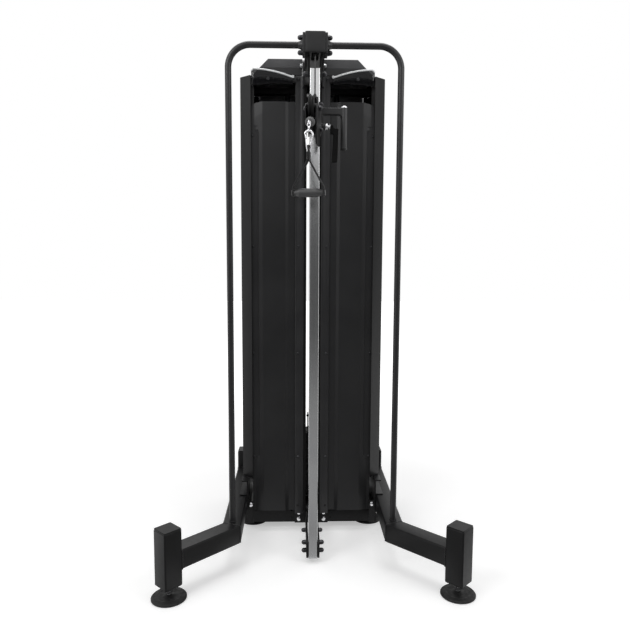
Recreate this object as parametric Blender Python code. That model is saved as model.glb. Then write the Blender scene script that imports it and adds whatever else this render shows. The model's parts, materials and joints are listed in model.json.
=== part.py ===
# Cable machine: a weight stack tower with a guide rail, a pulley carriage and a stirrup handle.
# Metres, +Z up. The front faces -Y, and the origin is on the floor in the middle of the footprint.
import bpy
import bmesh
from math import cos, pi, radians, sin, sqrt, tan
from mathutils import Matrix, Vector

for old in list(bpy.data.objects):
    bpy.data.objects.remove(old)

# Fits
GAP = 0.0003            # between pieces that rest on each other
RUNNING = 0.0012        # round what slides or turns
WELD_STEP = 0.0002      # keeps the faces of welded pieces out of one plane

# Frame tube, legs and feet
TUBE = 0.080            # side of the square frame tube
TUBE_CORNER = 0.005     # its rounded corner
POST_X = 0.577          # front post to the middle plane
POST_Y = 0.481          # front and rear posts to the origin
POST_TOP = 0.288
POST_BOTTOM = 0.0535
LEG_TOP = 0.1995
SIDE_LEG_X = 0.3514     # side leg and bow to the middle plane
FOOT_RADIUS = 0.0705
FOOT_THICKNESS = 0.012
STEM_RADIUS = 0.008
NUT_FLATS = 0.030       # hex nut on a levelling stem, across its flats
NUT_HEIGHT = 0.014

# Tower
TOWER_FRONT = 0.086     # front plane of the tower
TOWER_DEPTH = 0.400
TOWER_TOP = 2.164
SLOT = 0.081            # open slot between the two side frames
UPRIGHT_WIDTH = 0.040
UPRIGHT_DEPTH = 0.060
FRAME_RAIL = 0.040      # height of the side frames' bottom rails
FRAME_TOP_RAIL = 0.059
EAR_PLATE = 0.008       # plates of the side frames that clamp the head beam
EAR_FRONT = 0.058
EAR_RISE = 0.062         # top of the ears above the tower's top
EAR_REACH = 0.054        # how far the ears reach down the uprights
BRIDGE_FRONT = 0.263
BRIDGE_REAR = 0.310
BRIDGE_BELOW = 0.009     # top of the rod bridge under the tower's top
SIDE_BOLT_X = 0.0665     # button heads on the uprights to the middle plane
STRIP_INNER = 0.2847    # corner strip's inner edge to the middle plane
STRIP_OUTER = 0.3353
STRIP_SETBACK = 0.046   # how far the strip's outer edge lies behind its inner one
STRIP_BOTTOM = 0.274
SHEET = 0.003
GUARD_BELOW = 0.114      # top of the guards under the tower's top
GUARD_BOTTOM = 0.108
GUARD_SHEET = 0.003
TAB_SETBACK = 0.010     # the guards' outer tabs lie this far behind the tower's front
GUARD_BOLT_X = 0.2775   # bolts on the outer tabs to the middle plane
FIRST_BOLT = 0.379      # lowest of the four rows of bolts
LAST_BOLT_BELOW = 0.151 # highest row under the guards' top
GUARD_CORNER = 0.231    # from here outwards the guards' top edge falls
HOOD_RISE = 0.0728       # top of the hood above the tower's top
HOOD_WALL_BELOW = 0.025  # lower edge of its rear wall under the tower's top
HOOD_FLAT = 0.204       # half width of the hood's flat top
HOOD_SHOULDER = 0.0685  # width and drop of its 45 degree shoulders
HOOD_LIP = 0.038
SHIELD_BELOW = 0.042     # lower edge of the shields under the tower's top
SHIELD_INNER_HEIGHT = 0.033
SHIELD_OUTER_HEIGHT = 0.072
SHIELD_BOLT_X = 0.204
SHIELD_BOLT_RISE = 0.0255
SHIELD_INNER = 0.0915
SHIELD_OUTER = 0.2815
SHIELD_FRONT = 0.070    # front of the shield at its inner end
SHIELD_BULGE = 0.024    # twice as far as the shield curves back at its outer end
SHIELD_ARM = 0.016      # depth of the arm behind it
SHIELD_ARM_END = 0.216

# Base of the tower
BASE_TOP = 0.0925
BASE_BOTTOM = 0.0325
BASE_TUBE = 0.050
BASE_HALF = 0.325
BASE_FRONT = 0.126
BASE_FOOT_X = 0.290
BED_THICKNESS = 0.012
BRACKET_SHEET = 0.006
BRACKET_FRONT = 0.050

# Head beam
BEAM_RISE = 0.074        # top of the head beam above the tower's top
BEAM_WALL = 0.004
BEAM_FRONT = -0.2674
BEAM_REAR = 0.452
CAP_DOME = 0.004
BOW_Y = -0.222
BOW_RADIUS = 0.01325
BOW_BEND = 0.090
BOW_PLATE = 0.010
DOME_NUT_RADIUS = 0.0095
DOME_NUT_LENGTH = 0.020

# Rail
RAIL_HALF = 0.0204
RAIL_FRONT = -0.228
RAIL_DEPTH = 0.060
RAIL_WALL = 0.003
RAIL_BELOW = 0.050       # top of the rail under the head beam
RAIL_BOTTOM = 0.0244
PIN_PITCH = 0.075
PIN_HOLES = 22
RAIL_PLATE = 0.0085     # thickness of the plates that clamp the rail

# Cable and pulleys
CABLE_RADIUS = 0.0025
CABLE_Y = -0.250        # vertical cable in front of the rail, and the fork's swivel axis
GROOVE = 0.040          # radius at which the cable runs on the fixed pulleys
RIM = 0.0455
PULLEY_WIDTH = 0.022
AXLE_RADIUS = 0.006
HEAD_BELOW = 0.052       # upper pulleys' axles under the beam's top
BASE_Z = 0.064
LOWER_CABLE_BEHIND = 0.0125   # lower cable behind the rail

# Weight stack
STACK_Y = 0.286
PLATE_WIDTH = 0.340
PLATE_DEPTH = 0.120
PLATE_THICKNESS = 0.025
REST_PLATES = 7
LIFTED_PLATES = 4
TOP_PLATE = 0.044
BUMPER = 0.042
ROD_X = 0.120
ROD_RADIUS = 0.0125
ROD_BELOW = 0.036        # tops of the guide rods under the tower's top
STEM_BAR = 0.011        # radius of the selector stem
SELECTOR_RADIUS = 0.0045

# Carriage
PIN_Z = 1.883           # height of the locking pin
SLEEVE_WALL = 0.005
SLEEVE_LOW = 1.848
SLEEVE_HIGH = 1.958
PIN_RADIUS = 0.0055
PIN_TRAVEL = 0.0075     # from just clear of the rail to inside its hole
BARREL_RADIUS = 0.0125
BARREL_END = 0.054
GRIP_X = 0.1214
GRIP_RADIUS = 0.0125
GRIP_LOW = 1.789
GRIP_HIGH = 1.967
ARM_LOW = 1.930
ARM_HIGH = 1.957
LEVER_HIGH = 1.889
LEVER_LOW = 1.738

# Fork and its pulley
SWIVEL = radians(11)    # the fork points this far to the left at rest
FORK_HALF = 0.0245
FORK_PLATE = 0.005
FORK_REACH = 0.100
FORK_LOW = 1.848
FORK_HIGH = 1.945
FORK_TAB = 1.787
FORK_BACK = 0.006       # the side plates begin this far in front of the swivel axis
STOP_REACH = 0.0955     # front of the plate that stops the ball
FORK_GROOVE = 0.050
FORK_RIM = 0.056
FORK_PULLEY_Z = 1.934
FLANGE_LOW = 1.976
EAR = 0.006             # thickness of the ears and flanges of the swivel
SWIVEL_BORE = 0.007

# Handle
BALL_RADIUS = 0.0195
BALL_Z = 1.868
HOOK_WIRE = 0.0036
HOOK_WIDTH = 0.042
HOOK_HIGH = 1.8645
HOOK_LOW = 1.7786
STRAP_WIDTH = 0.030
STRAP_THICKNESS = 0.005
STRAP_NECK = 1.729      # where the sewn neck splits into the two legs
GRIP_LENGTH = 0.130
HANDLE_RADIUS = 0.0170
GRIP_NECK = 0.0085      # radius of the grip's ends inside the strap
HANDLE_Z = 1.5954

# Worked out from the sizes above
HALF_TUBE = TUBE / 2
BEND_Y = -POST_Y + (POST_X - SIDE_LEG_X)
LEG_BOTTOM = LEG_TOP - TUBE
TOWER_REAR = TOWER_FRONT + TOWER_DEPTH
EAR_TOP = TOWER_TOP + EAR_RISE
BRIDGE_TOP = TOWER_TOP - BRIDGE_BELOW
ROD_TOP = TOWER_TOP - ROD_BELOW
GUARD_TOP = TOWER_TOP - GUARD_BELOW
LAST_BOLT = GUARD_TOP - LAST_BOLT_BELOW
BOLT_ROWS = [FIRST_BOLT + (LAST_BOLT - FIRST_BOLT) * i / 3 for i in range(4)]
HOOD_TOP = TOWER_TOP + HOOD_RISE
SHIELD_BOTTOM = TOWER_TOP - SHIELD_BELOW
BEAM_TOP = TOWER_TOP + BEAM_RISE
FRAME_INNER = SLOT / 2
FRAME_OUTER = FRAME_INNER + UPRIGHT_WIDTH
BEAM_BOTTOM = BEAM_TOP - TUBE
RAIL_TOP = BEAM_BOTTOM - RAIL_BELOW
HEAD_Z = BEAM_TOP - HEAD_BELOW
RAIL_REAR = RAIL_FRONT + RAIL_DEPTH
RAIL_MIDDLE = RAIL_FRONT + RAIL_DEPTH / 2
HEAD_Y = CABLE_Y + GROOVE
SHIELD_ARM_Y = SHIELD_FRONT + SHIELD_BULGE * (1 - cos(0.66 * pi / 3)) + SHEET + GAP
CROWN_FRONT_Y = STACK_Y - 2 * GROOVE
CROWN_REAR_Y = STACK_Y + 2 * GROOVE
LOWER_CABLE_Y = RAIL_REAR + LOWER_CABLE_BEHIND
BASE_PULLEY_Y = LOWER_CABLE_Y + GROOVE
BED_TOP = BASE_TOP
REST_LOW = BED_TOP + BUMPER + GAP
REST_HIGH = REST_LOW + REST_PLATES * PLATE_THICKNESS
LIFT_LOW = REST_HIGH + GAP
LIFT_HIGH = LIFT_LOW + LIFTED_PLATES * PLATE_THICKNESS
TOP_LOW = LIFT_HIGH + GAP
TOP_HIGH = TOP_LOW + TOP_PLATE
SELECTED_Z = LIFT_LOW + PLATE_THICKNESS / 2
BLOCK_PULLEY_Z = TOP_HIGH + 0.075
SLEEVE_HALF = RAIL_HALF + RUNNING + SLEEVE_WALL
SLEEVE_FRONT = RAIL_FRONT - RUNNING - SLEEVE_WALL
SLEEVE_REAR = RAIL_REAR + RUNNING + SLEEVE_WALL
FORK_PULLEY_REACH = FORK_GROOVE
BALL_REACH = STOP_REACH + BALL_RADIUS + GAP
HOOK_REACH = BALL_REACH + BALL_RADIUS + 0.0085


# Finishes
def finish(name, colour, roughness, metallic=0.0, alpha=1.0):
    made = bpy.data.materials.new(name)
    made.use_nodes = True
    shader = made.node_tree.nodes["Principled BSDF"]
    shader.inputs["Base Color"].default_value = (*colour, 1.0)
    shader.inputs["Roughness"].default_value = roughness
    shader.inputs["Metallic"].default_value = metallic
    shader.inputs["Alpha"].default_value = alpha
    return made


BLACK_COAT = finish("black_coat", (0.022, 0.022, 0.024), 0.45)
DARK_SHEET = finish("dark_sheet", (0.012, 0.012, 0.014), 0.22)
SMOKED = finish("smoked", (0.03, 0.03, 0.035), 0.12, alpha=0.55)
BRIGHT_STEEL = finish("bright_steel", (0.62, 0.63, 0.65), 0.25, 1.0)
CHROME = finish("chrome", (0.80, 0.80, 0.82), 0.08, 1.0)
CAST = finish("cast_black", (0.03, 0.03, 0.03), 0.6)
RUBBER = finish("black_rubber", (0.018, 0.018, 0.018), 0.75)
NYLON = finish("black_nylon", (0.02, 0.02, 0.022), 0.5)
CABLE_COAT = finish("cable_coat", (0.02, 0.02, 0.02), 0.4)
WEBBING = finish("webbing", (0.02, 0.02, 0.022), 0.85)


# Modelling helpers
def add_object(name, shape, material, smooth=30):
    """Turns a bmesh into a named object, shaded smooth below the given angle."""
    bmesh.ops.recalc_face_normals(shape, faces=shape.faces)
    mesh = bpy.data.meshes.new(name)
    shape.to_mesh(mesh)
    shape.free()
    mesh.materials.append(material)
    mesh.shade_smooth()
    mesh.set_sharp_from_angle(angle=radians(smooth))
    made = bpy.data.objects.new(name, mesh)
    bpy.context.scene.collection.objects.link(made)
    return made


def place(axis, u, v, w):
    """A point with w along the axis and u, v across it: X takes (Y, Z), Y takes (X, Z), Z takes (X, Y)."""
    return {"X": (w, u, v), "Y": (u, w, v), "Z": (u, v, w)}[axis]


def prism(shape, outline, axis, low, high):
    """Adds a closed prism: a flat outline carried along an axis from low to high."""
    ends = [[shape.verts.new(place(axis, u, v, w)) for u, v in outline] for w in (low, high)]
    shape.faces.new(ends[0])
    shape.faces.new(list(reversed(ends[1])))
    for i in range(len(outline)):
        j = (i + 1) % len(outline)
        shape.faces.new((ends[0][i], ends[1][i], ends[1][j], ends[0][j]))


def box(shape, x, y, z):
    prism(shape, [(x[0], y[0]), (x[1], y[0]), (x[1], y[1]), (x[0], y[1])], "Z", z[0], z[1])


def ring_prism(shape, outer, inner, axis, low, high):
    """Adds a prism with a hole through it: two outlines with the same number of points."""
    count = len(outer)
    rings = [[shape.verts.new(place(axis, u, v, w)) for u, v in line]
             for w in (low, high) for line in (outer, inner)]
    low_out, low_in, high_out, high_in = rings
    for i in range(count):
        j = (i + 1) % count
        shape.faces.new((low_out[i], low_out[j], low_in[j], low_in[i]))
        shape.faces.new((high_out[i], high_in[i], high_in[j], high_out[j]))
        shape.faces.new((low_out[i], high_out[i], high_out[j], low_out[j]))
        shape.faces.new((low_in[i], low_in[j], high_in[j], high_in[i]))


def circle(radius, sides, u=0.0, v=0.0, turn=0.0):
    return [(u + radius * cos(turn + 2 * pi * i / sides), v + radius * sin(turn + 2 * pi * i / sides))
            for i in range(sides)]


def hexagon(flats, u=0.0, v=0.0):
    return circle(flats / sqrt(3), 6, u, v, pi / 6)


def rectangle(half_u, half_v, u=0.0, v=0.0):
    return [(u - half_u, v - half_v), (u + half_u, v - half_v), (u + half_u, v + half_v), (u - half_u,
            v + half_v)]


def turned(shape, profile, axis, u, v, sides=16, closed=False):
    """Adds a turned body: (radius, distance along the axis) points spun about an axis through u, v.

    An open profile starts and ends on the axis; a closed one is a ring's cross section.
    """
    rings = []
    for radius, w in profile:
        if radius == 0.0:
            rings.append([shape.verts.new(place(axis, u, v, w))])
        else:
            rings.append([shape.verts.new(place(axis, u + a, v + b, w)) for a, b in circle(radius, sides)])
    pairs = list(zip(rings, rings[1:]))
    if closed:
        pairs.append((rings[-1], rings[0]))
    for near, far in pairs:
        for i in range(sides):
            j = (i + 1) % sides
            if len(near) == 1:
                shape.faces.new((near[0], far[j], far[i]))
            elif len(far) == 1:
                shape.faces.new((near[i], near[j], far[0]))
            else:
                shape.faces.new((near[i], near[j], far[j], far[i]))


def swept(shape, points, radius, sides=10, closed=False):
    """Adds a round bar along a list of points, with flat ends or closed on itself."""
    points = [Vector(p) for p in points]
    count = len(points)
    rings = []
    side = None
    for i, point in enumerate(points):
        before = points[i - 1] if i or closed else point
        after = points[(i + 1) % count] if i < count - 1 or closed else point
        along = (after - before).normalized()
        if side is None:
            side = along.orthogonal().normalized()
        side = (side - along * side.dot(along)).normalized()
        across = along.cross(side)
        rings.append([shape.verts.new(point + (side * a + across * b)) for a, b in circle(radius, sides)])
    for i in range(count if closed else count - 1):
        near, far = rings[i], rings[(i + 1) % count]
        for a in range(sides):
            b = (a + 1) % sides
            shape.faces.new((near[a], near[b], far[b], far[a]))
    if not closed:
        shape.faces.new(list(reversed(rings[0])))
        shape.faces.new(rings[-1])


def dome_nut(shape, axis, u, v, base, side, radius=DOME_NUT_RADIUS, length=DOME_NUT_LENGTH):
    """Adds a domed cap nut on a washer. It starts 1 mm inside its plate, to be fused to it."""
    start = base - side * 0.001
    profile = [(0.0, start), (radius, start), (radius, base + side * length * 0.5),
               (radius * 0.8, base + side * length * 0.76), (radius * 0.45, base + side * length * 0.94),
               (0.0, base + side * length)]
    turned(shape, profile, axis, u, v, 6)


def operand(shape, name="helper"):
    """An object that only cuts or joins: hidden, so it is no piece of its own."""
    made = add_object(name, shape, BLACK_COAT)
    made.hide_render = True
    made.display_type = "WIRE"
    return made


def combine(target, shape, operation):
    step = target.modifiers.new(operation.lower(), "BOOLEAN")
    step.operation = operation
    step.object = operand(shape, target.name + "_" + operation.lower())


def join(target, shape):
    combine(target, shape, "UNION")


def cut(target, shape):
    combine(target, shape, "DIFFERENCE")


def bevel(target, width, segments=1, angle=40):
    step = target.modifiers.new("bevel", "BEVEL")
    step.width = width
    step.segments = segments
    step.limit_method = "ANGLE"
    step.angle_limit = radians(angle)


def offset_line(points, distance):
    """Offsets an open line of (u, v) points sideways, keeping its corners mitred."""
    made = []
    for i, (u, v) in enumerate(points):
        directions = []
        if i:
            directions.append(Vector((u - points[i - 1][0], v - points[i - 1][1])).normalized())
        if i < len(points) - 1:
            directions.append(Vector((points[i + 1][0] - u, points[i + 1][1] - v)).normalized())
        mean = sum(directions, Vector((0.0, 0.0))).normalized()
        stretch = 1 / mean.dot(directions[0])
        made.append((u - mean.y * distance * stretch, v + mean.x * distance * stretch))
    return made


def sheet_outline(points, thickness):
    """The closed outline of a bent sheet: a line of points and its offset."""
    return list(points) + list(reversed(offset_line(points, thickness)))


def mirrored(points, side):
    """Points of the right side, or their mirror image, kept in the same turning sense."""
    return list(points) if side > 0 else [(-u, v) for u, v in reversed(points)]


SIDES = (("l", -1), ("r", 1))


# Legs and feet
def leg_frame(letter, side):
    """Side leg, splayed front leg and their two posts, welded into one piece."""
    mitre = HALF_TUBE * tan(radians(22.5))
    across = HALF_TUBE / sqrt(2)
    plan = [(SIDE_LEG_X - HALF_TUBE, POST_Y), (SIDE_LEG_X - HALF_TUBE, BEND_Y - mitre),
            (POST_X - across, -POST_Y - across), (POST_X + across, -POST_Y + across),
            (SIDE_LEG_X + HALF_TUBE, BEND_Y + mitre), (SIDE_LEG_X + HALF_TUBE, POST_Y)]
    shape = bmesh.new()
    prism(shape, mirrored(plan, side), "Z", LEG_BOTTOM, LEG_TOP)
    leg = add_object("leg_frame_" + letter, shape, BLACK_COAT)
    bevel(leg, TUBE_CORNER)
    for name, x, y, turn in (("front", POST_X, -POST_Y, pi / 4), ("rear", SIDE_LEG_X, POST_Y, 0.0)):
        shape = bmesh.new()
        half = HALF_TUBE + WELD_STEP
        box(shape, (-half, half), (-half, half), (POST_BOTTOM, POST_TOP))
        bmesh.ops.rotate(shape, verts=shape.verts, cent=(0, 0, 0), matrix=Matrix.Rotation(turn, 3, "Z"))
        bmesh.ops.translate(shape, verts=shape.verts, vec=(side * x, y, 0))
        post = operand(shape, "post_" + name)
        bevel(post, TUBE_CORNER)
        step = leg.modifiers.new("weld", "BOOLEAN")
        step.operation = "UNION"
        step.object = post


def levelling_foot(name, x, y, top, sides=16):
    """Disc, threaded stem and hex nut, which turn together."""
    shape = bmesh.new()
    disc = [(0.0, 0.0), (FOOT_RADIUS - 0.002, 0.0), (FOOT_RADIUS, 0.002), (FOOT_RADIUS,
            FOOT_THICKNESS - 0.004),
            (FOOT_RADIUS - 0.004, FOOT_THICKNESS), (0.018, FOOT_THICKNESS + 0.002),
            (STEM_RADIUS, FOOT_THICKNESS + 0.006), (STEM_RADIUS, top - GAP), (0.0, top - GAP)]
    turned(shape, disc, "Z", x, y, sides)
    foot = add_object(name, shape, RUBBER)
    if top - NUT_HEIGHT > FOOT_THICKNESS + 0.006:
        shape = bmesh.new()
        prism(shape, hexagon(NUT_FLATS, x, y), "Z", top - NUT_HEIGHT - 0.001, top - 0.001)
        join(foot, shape)


# Base of the tower
def base_frame():
    """Welded rectangle of tube with two inner tubes, the guide rods' beds and the rear pulley's axle."""
    front, rear = BASE_FRONT, TOWER_REAR
    shape = bmesh.new()
    box(shape, (-BASE_HALF, BASE_HALF), (front, front + BASE_TUBE), (BASE_BOTTOM, BASE_TOP))
    between = SIDE_LEG_X - HALF_TUBE - RUNNING
    box(shape, (-between, between), (rear - BASE_TUBE, rear), (BASE_BOTTOM, BASE_TOP))
    base = add_object("base_frame", shape, BLACK_COAT)
    tubes = bmesh.new()
    for side in (-1, 1):
        for inner, outer in ((FRAME_INNER, FRAME_OUTER), (between - BASE_TUBE, between - WELD_STEP)):
            box(tubes, sorted((side * inner, side * outer)), (front + BASE_TUBE - 0.010,
                    rear - BASE_TUBE + 0.010),
                (BASE_BOTTOM + WELD_STEP, BASE_TOP - WELD_STEP))
    join(base, tubes)
    beds = bmesh.new()
    for side in (-1, 1):
        box(beds, sorted((side * (FRAME_OUTER - 0.002), side * (between - BASE_TUBE + 0.002))),
            (STACK_Y - PLATE_DEPTH / 2, STACK_Y + PLATE_DEPTH / 2), (BASE_TOP - BED_THICKNESS,
                    BASE_TOP - 2 * WELD_STEP))
    join(base, beds)
    reach = FRAME_INNER + 0.005
    axle = bmesh.new()
    turned(axle, [(0.0, -reach), (AXLE_RADIUS, -reach), (AXLE_RADIUS, reach), (0.0, reach)], "X",
           CROWN_REAR_Y, BASE_Z, 12)
    join(base, axle)


def base_bracket(letter, side):
    """Long bent channel between base, leg and cover, with the plate at its front end."""
    outer = SIDE_LEG_X - HALF_TUBE - GAP
    inner = outer - BRACKET_SHEET
    on_leg = LEG_TOP + GAP
    top = STRIP_BOTTOM - GAP
    low = BASE_TOP + GAP
    rear = TOWER_REAR - STRIP_SETBACK
    profile = [(inner, low), (outer, low), (outer, on_leg), (outer + 0.034, on_leg),
               (outer + 0.034, on_leg + BRACKET_SHEET), (outer, on_leg + BRACKET_SHEET),
               (outer, top - BRACKET_SHEET), (STRIP_OUTER, top - BRACKET_SHEET), (STRIP_OUTER, top),
                       (inner, top)]
    shape = bmesh.new()
    prism(shape, mirrored(profile, side), "Y", BRACKET_FRONT, rear)
    bracket = add_object("base_bracket_" + letter, shape, BLACK_COAT)
    foot = bmesh.new()
    a, b = sorted((side * (BASE_HALF - BASE_TUBE + 0.004), side * (inner + 0.001)))
    box(foot, (a, b), (BASE_FRONT + 0.004, rear), (low, low + BRACKET_SHEET))
    join(bracket, foot)
    front = bmesh.new()
    plate = [(inner + 0.001, 0.062), (inner + 0.001, 0.176), (inner - 0.026, 0.168), (inner - 0.026, 0.062)]
    prism(front, mirrored(plate, side), "Y", BRACKET_FRONT, BRACKET_FRONT + BRACKET_SHEET)
    join(bracket, front)
    bolts = bmesh.new()
    bolt_head(bolts, side * 0.2925, 0.155, BRACKET_FRONT, -1, 0.0085, 0.007)
    join(bracket, bolts)


def side_frame(letter, side):
    """Ladder frame with the ear that clamps the head beam and the arm that carries the shield."""
    low = BASE_TOP + GAP
    front, rear = TOWER_FRONT, TOWER_REAR
    outer = [(front, low), (rear, low), (rear, TOWER_TOP), (front, TOWER_TOP)]
    inner = [(front + UPRIGHT_DEPTH, low + FRAME_RAIL), (rear - UPRIGHT_DEPTH, low + FRAME_RAIL),
             (rear - UPRIGHT_DEPTH, TOWER_TOP - FRAME_TOP_RAIL), (front + UPRIGHT_DEPTH,
                     TOWER_TOP - FRAME_TOP_RAIL)]
    shape = bmesh.new()
    ring_prism(shape, outer, inner, "X", *sorted((side * FRAME_INNER, side * FRAME_OUTER)))
    frame = add_object("side_frame_" + letter, shape, BLACK_COAT)
    bevel(frame, 0.002)
    ear = bmesh.new()
    foot = TOWER_TOP - EAR_REACH
    outline = [(EAR_FRONT, foot), (front + UPRIGHT_DEPTH, foot), (front + UPRIGHT_DEPTH, EAR_TOP),
               (EAR_FRONT + 0.008, EAR_TOP), (EAR_FRONT, EAR_TOP - 0.008)]
    prism(ear, outline, "X", *sorted((side * (FRAME_INNER + 0.0002), side * (FRAME_INNER + EAR_PLATE))))
    join(frame, ear)
    arm = bmesh.new()
    a, b = sorted((side * (FRAME_OUTER - 0.004), side * SHIELD_ARM_END))
    box(arm, (a, b), (SHIELD_ARM_Y, SHIELD_ARM_Y + SHIELD_ARM), (SHIELD_BOTTOM + 0.012,
            SHIELD_BOTTOM + 0.036))
    join(frame, arm)
    heads = bmesh.new()
    for z in [TOWER_TOP - 0.016] + BOLT_ROWS[:3]:
        bolt_head(heads, side * SIDE_BOLT_X, z, front, -1)
    dome_nut(heads, "X", EAR_FRONT + 0.014, EAR_TOP - 0.023, side * (FRAME_INNER + EAR_PLATE), side,
             0.0085, 0.013)
    join(frame, heads)
    notch = bmesh.new()
    a, b = sorted((side * (FRAME_INNER - 0.01), side * (FRAME_OUTER + 0.01)))
    box(notch, (a, b), (BRIDGE_FRONT - GAP, BRIDGE_REAR + GAP), (ROD_TOP, TOWER_TOP + 0.01))
    cut(frame, notch)


def bolt_head(shape, x, z, face, side, radius=0.0065, height=0.004):
    """Adds a button head that stands on a face across Y, from 1 mm inside it."""
    turned(shape, [(0.0, face - side * 0.001), (radius, face - side * 0.001),
                   (radius, face + side * height * 0.4),
                   (radius * 0.6, face + side * height), (0.0, face + side * height)], "Y", x, z, 6)


def rod_bridge():
    """Cross bar under the head beam that holds the guide rods and stiffens the side covers."""
    shape = bmesh.new()
    reach = STRIP_OUTER - SHEET - GAP
    box(shape, (-reach, reach), (BRIDGE_FRONT, BRIDGE_REAR), (ROD_TOP + GAP, BRIDGE_TOP))
    add_object("rod_bridge", shape, BLACK_COAT)


# Covers
def side_cover(letter, side):
    """Folded sheet side of the tower: 45 degree strips, and lips behind the guards' tabs."""
    lip = TAB_SETBACK + GUARD_SHEET + GAP
    line = [(STRIP_INNER - 0.015, TOWER_FRONT + lip), (STRIP_INNER, TOWER_FRONT + lip), (STRIP_INNER,
            TOWER_FRONT),
            (STRIP_OUTER, TOWER_FRONT + STRIP_SETBACK), (STRIP_OUTER, TOWER_REAR - STRIP_SETBACK),
            (STRIP_INNER, TOWER_REAR), (STRIP_INNER, TOWER_REAR - lip), (STRIP_INNER - 0.015,
                    TOWER_REAR - lip)]
    shape = bmesh.new()
    prism(shape, mirrored(sheet_outline(line, SHEET), side), "Z", STRIP_BOTTOM, TOWER_TOP)
    cover = add_object("side_cover_" + letter, shape, DARK_SHEET)
    notch = bmesh.new()
    clear = HALF_TUBE + RUNNING
    box(notch, sorted((side * (SIDE_LEG_X - clear), side * (SIDE_LEG_X + clear))), (POST_Y - clear,
            POST_Y + clear),
        (STRIP_BOTTOM - 0.01, POST_TOP + RUNNING))
    cut(cover, notch)


def guard_line(face, inward):
    """Plan of one guard: inner margin, narrow slant, main face, wide slant and outer tab."""
    return [(FRAME_OUTER + GAP, face + inward * 0.008), (0.1115, face + inward * 0.008),
            (0.1275, face + inward * 0.0005), (0.2310, face + inward * 0.0005),
            (0.2690, face + inward * TAB_SETBACK), (STRIP_INNER - GAP, face + inward * TAB_SETBACK)]


def guard(name, side, face, inward):
    line = guard_line(face, inward)
    shape = bmesh.new()
    prism(shape, mirrored(sheet_outline(line, inward * GUARD_SHEET), side), "Z", GUARD_BOTTOM, GUARD_TOP)
    made = add_object(name, shape, DARK_SHEET)
    corner = bmesh.new()
    over = GUARD_TOP + 0.002
    edge = [(GUARD_CORNER, over), (GUARD_CORNER, GUARD_TOP - 0.0002), (GUARD_CORNER + 0.030,
            GUARD_TOP - 0.005),
            (STRIP_INNER - 0.006, GUARD_TOP - 0.013), (STRIP_INNER + 0.005, GUARD_TOP - 0.018),
                    (STRIP_INNER + 0.005, over)]
    prism(corner, mirrored(edge, side), "Y", *sorted((face - inward * 0.005, face + inward * 0.030)))
    cut(made, corner)
    heads = bmesh.new()
    for z in BOLT_ROWS:
        bolt_head(heads, side * GUARD_BOLT_X, z, face + inward * TAB_SETBACK, -inward, 0.005, 0.003)
    join(made, heads)


def top_shield(letter, side):
    """Smoked band over the front guards: its top edge falls towards the middle, its ends curve back."""
    steps = 8
    shape = bmesh.new()
    rows = []
    for i in range(steps + 1):
        share = i / steps
        x = SHIELD_INNER + (SHIELD_OUTER - SHIELD_INNER) * share
        y = SHIELD_FRONT + SHIELD_BULGE * (1 - cos(share * pi / 3))
        rise = (SHIELD_OUTER_HEIGHT - SHIELD_INNER_HEIGHT) * share ** 0.75
        top = SHIELD_BOTTOM + SHIELD_INNER_HEIGHT + rise
        if i == steps:
            top -= 0.012
        low = SHIELD_BOTTOM + 0.007 * sin(share * pi) - 0.006 * share
        rows.append([shape.verts.new((side * x, y + dy, z)) for dy, z in
                     ((0, low), (0, top), (SHEET, top), (SHEET, low))])
    for near, far in zip(rows, rows[1:]):
        for a in range(4):
            b = (a + 1) % 4
            shape.faces.new((near[a], near[b], far[b], far[a]))
    shape.faces.new(rows[0])
    shape.faces.new(list(reversed(rows[-1])))
    shield = add_object("top_shield_" + letter, shape, SMOKED)
    head = bmesh.new()
    share = (SHIELD_BOLT_X - SHIELD_INNER) / (SHIELD_OUTER - SHIELD_INNER)
    face = SHIELD_FRONT + SHIELD_BULGE * (1 - cos(share * pi / 3))
    bolt_head(head, side * SHIELD_BOLT_X, SHIELD_BOTTOM + SHIELD_BOLT_RISE, face, -1, 0.007, 0.004)
    join(shield, head)


def hood():
    """Folded sheet hood: a flat top, 45 degree shoulders, a front lip and a rear wall behind the tower."""
    edge = HOOD_FLAT + HOOD_SHOULDER
    line = [(-edge, HOOD_TOP - HOOD_SHOULDER), (-HOOD_FLAT, HOOD_TOP), (HOOD_FLAT, HOOD_TOP), (edge,
            HOOD_TOP - HOOD_SHOULDER)]
    shape = bmesh.new()
    rear = TOWER_REAR + GAP + SHEET
    prism(shape, sheet_outline(line, -SHEET), "Y", TOWER_FRONT, rear)
    made = add_object("hood", shape, DARK_SHEET)
    lips = bmesh.new()
    low = HOOD_TOP - HOOD_LIP
    lip = [(-HOOD_FLAT - HOOD_LIP + 0.002, low), (HOOD_FLAT + HOOD_LIP - 0.002, low),
           (HOOD_FLAT - 0.001, HOOD_TOP - 0.001), (-HOOD_FLAT + 0.001, HOOD_TOP - 0.001)]
    prism(lips, lip, "Y", TOWER_FRONT + WELD_STEP, TOWER_FRONT + WELD_STEP + SHEET)
    foot = TOWER_TOP - HOOD_WALL_BELOW
    in_sheet = 0.001
    shoulder = HOOD_TOP - HOOD_SHOULDER + in_sheet / 2
    wall = [(edge - in_sheet * 2, foot), (edge - in_sheet * 2, shoulder), (HOOD_FLAT - in_sheet,
            HOOD_TOP - in_sheet)]
    wall += mirrored(wall, -1)
    prism(lips, wall, "Y", rear - SHEET, rear - WELD_STEP)
    join(made, lips)
    way = bmesh.new()
    clear = FRAME_INNER + EAR_PLATE + GAP
    box(way, (-clear, clear), (TOWER_FRONT - 0.01, BEAM_REAR + RUNNING), (low - 0.01, BEAM_TOP + RUNNING))
    cut(made, way)


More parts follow.
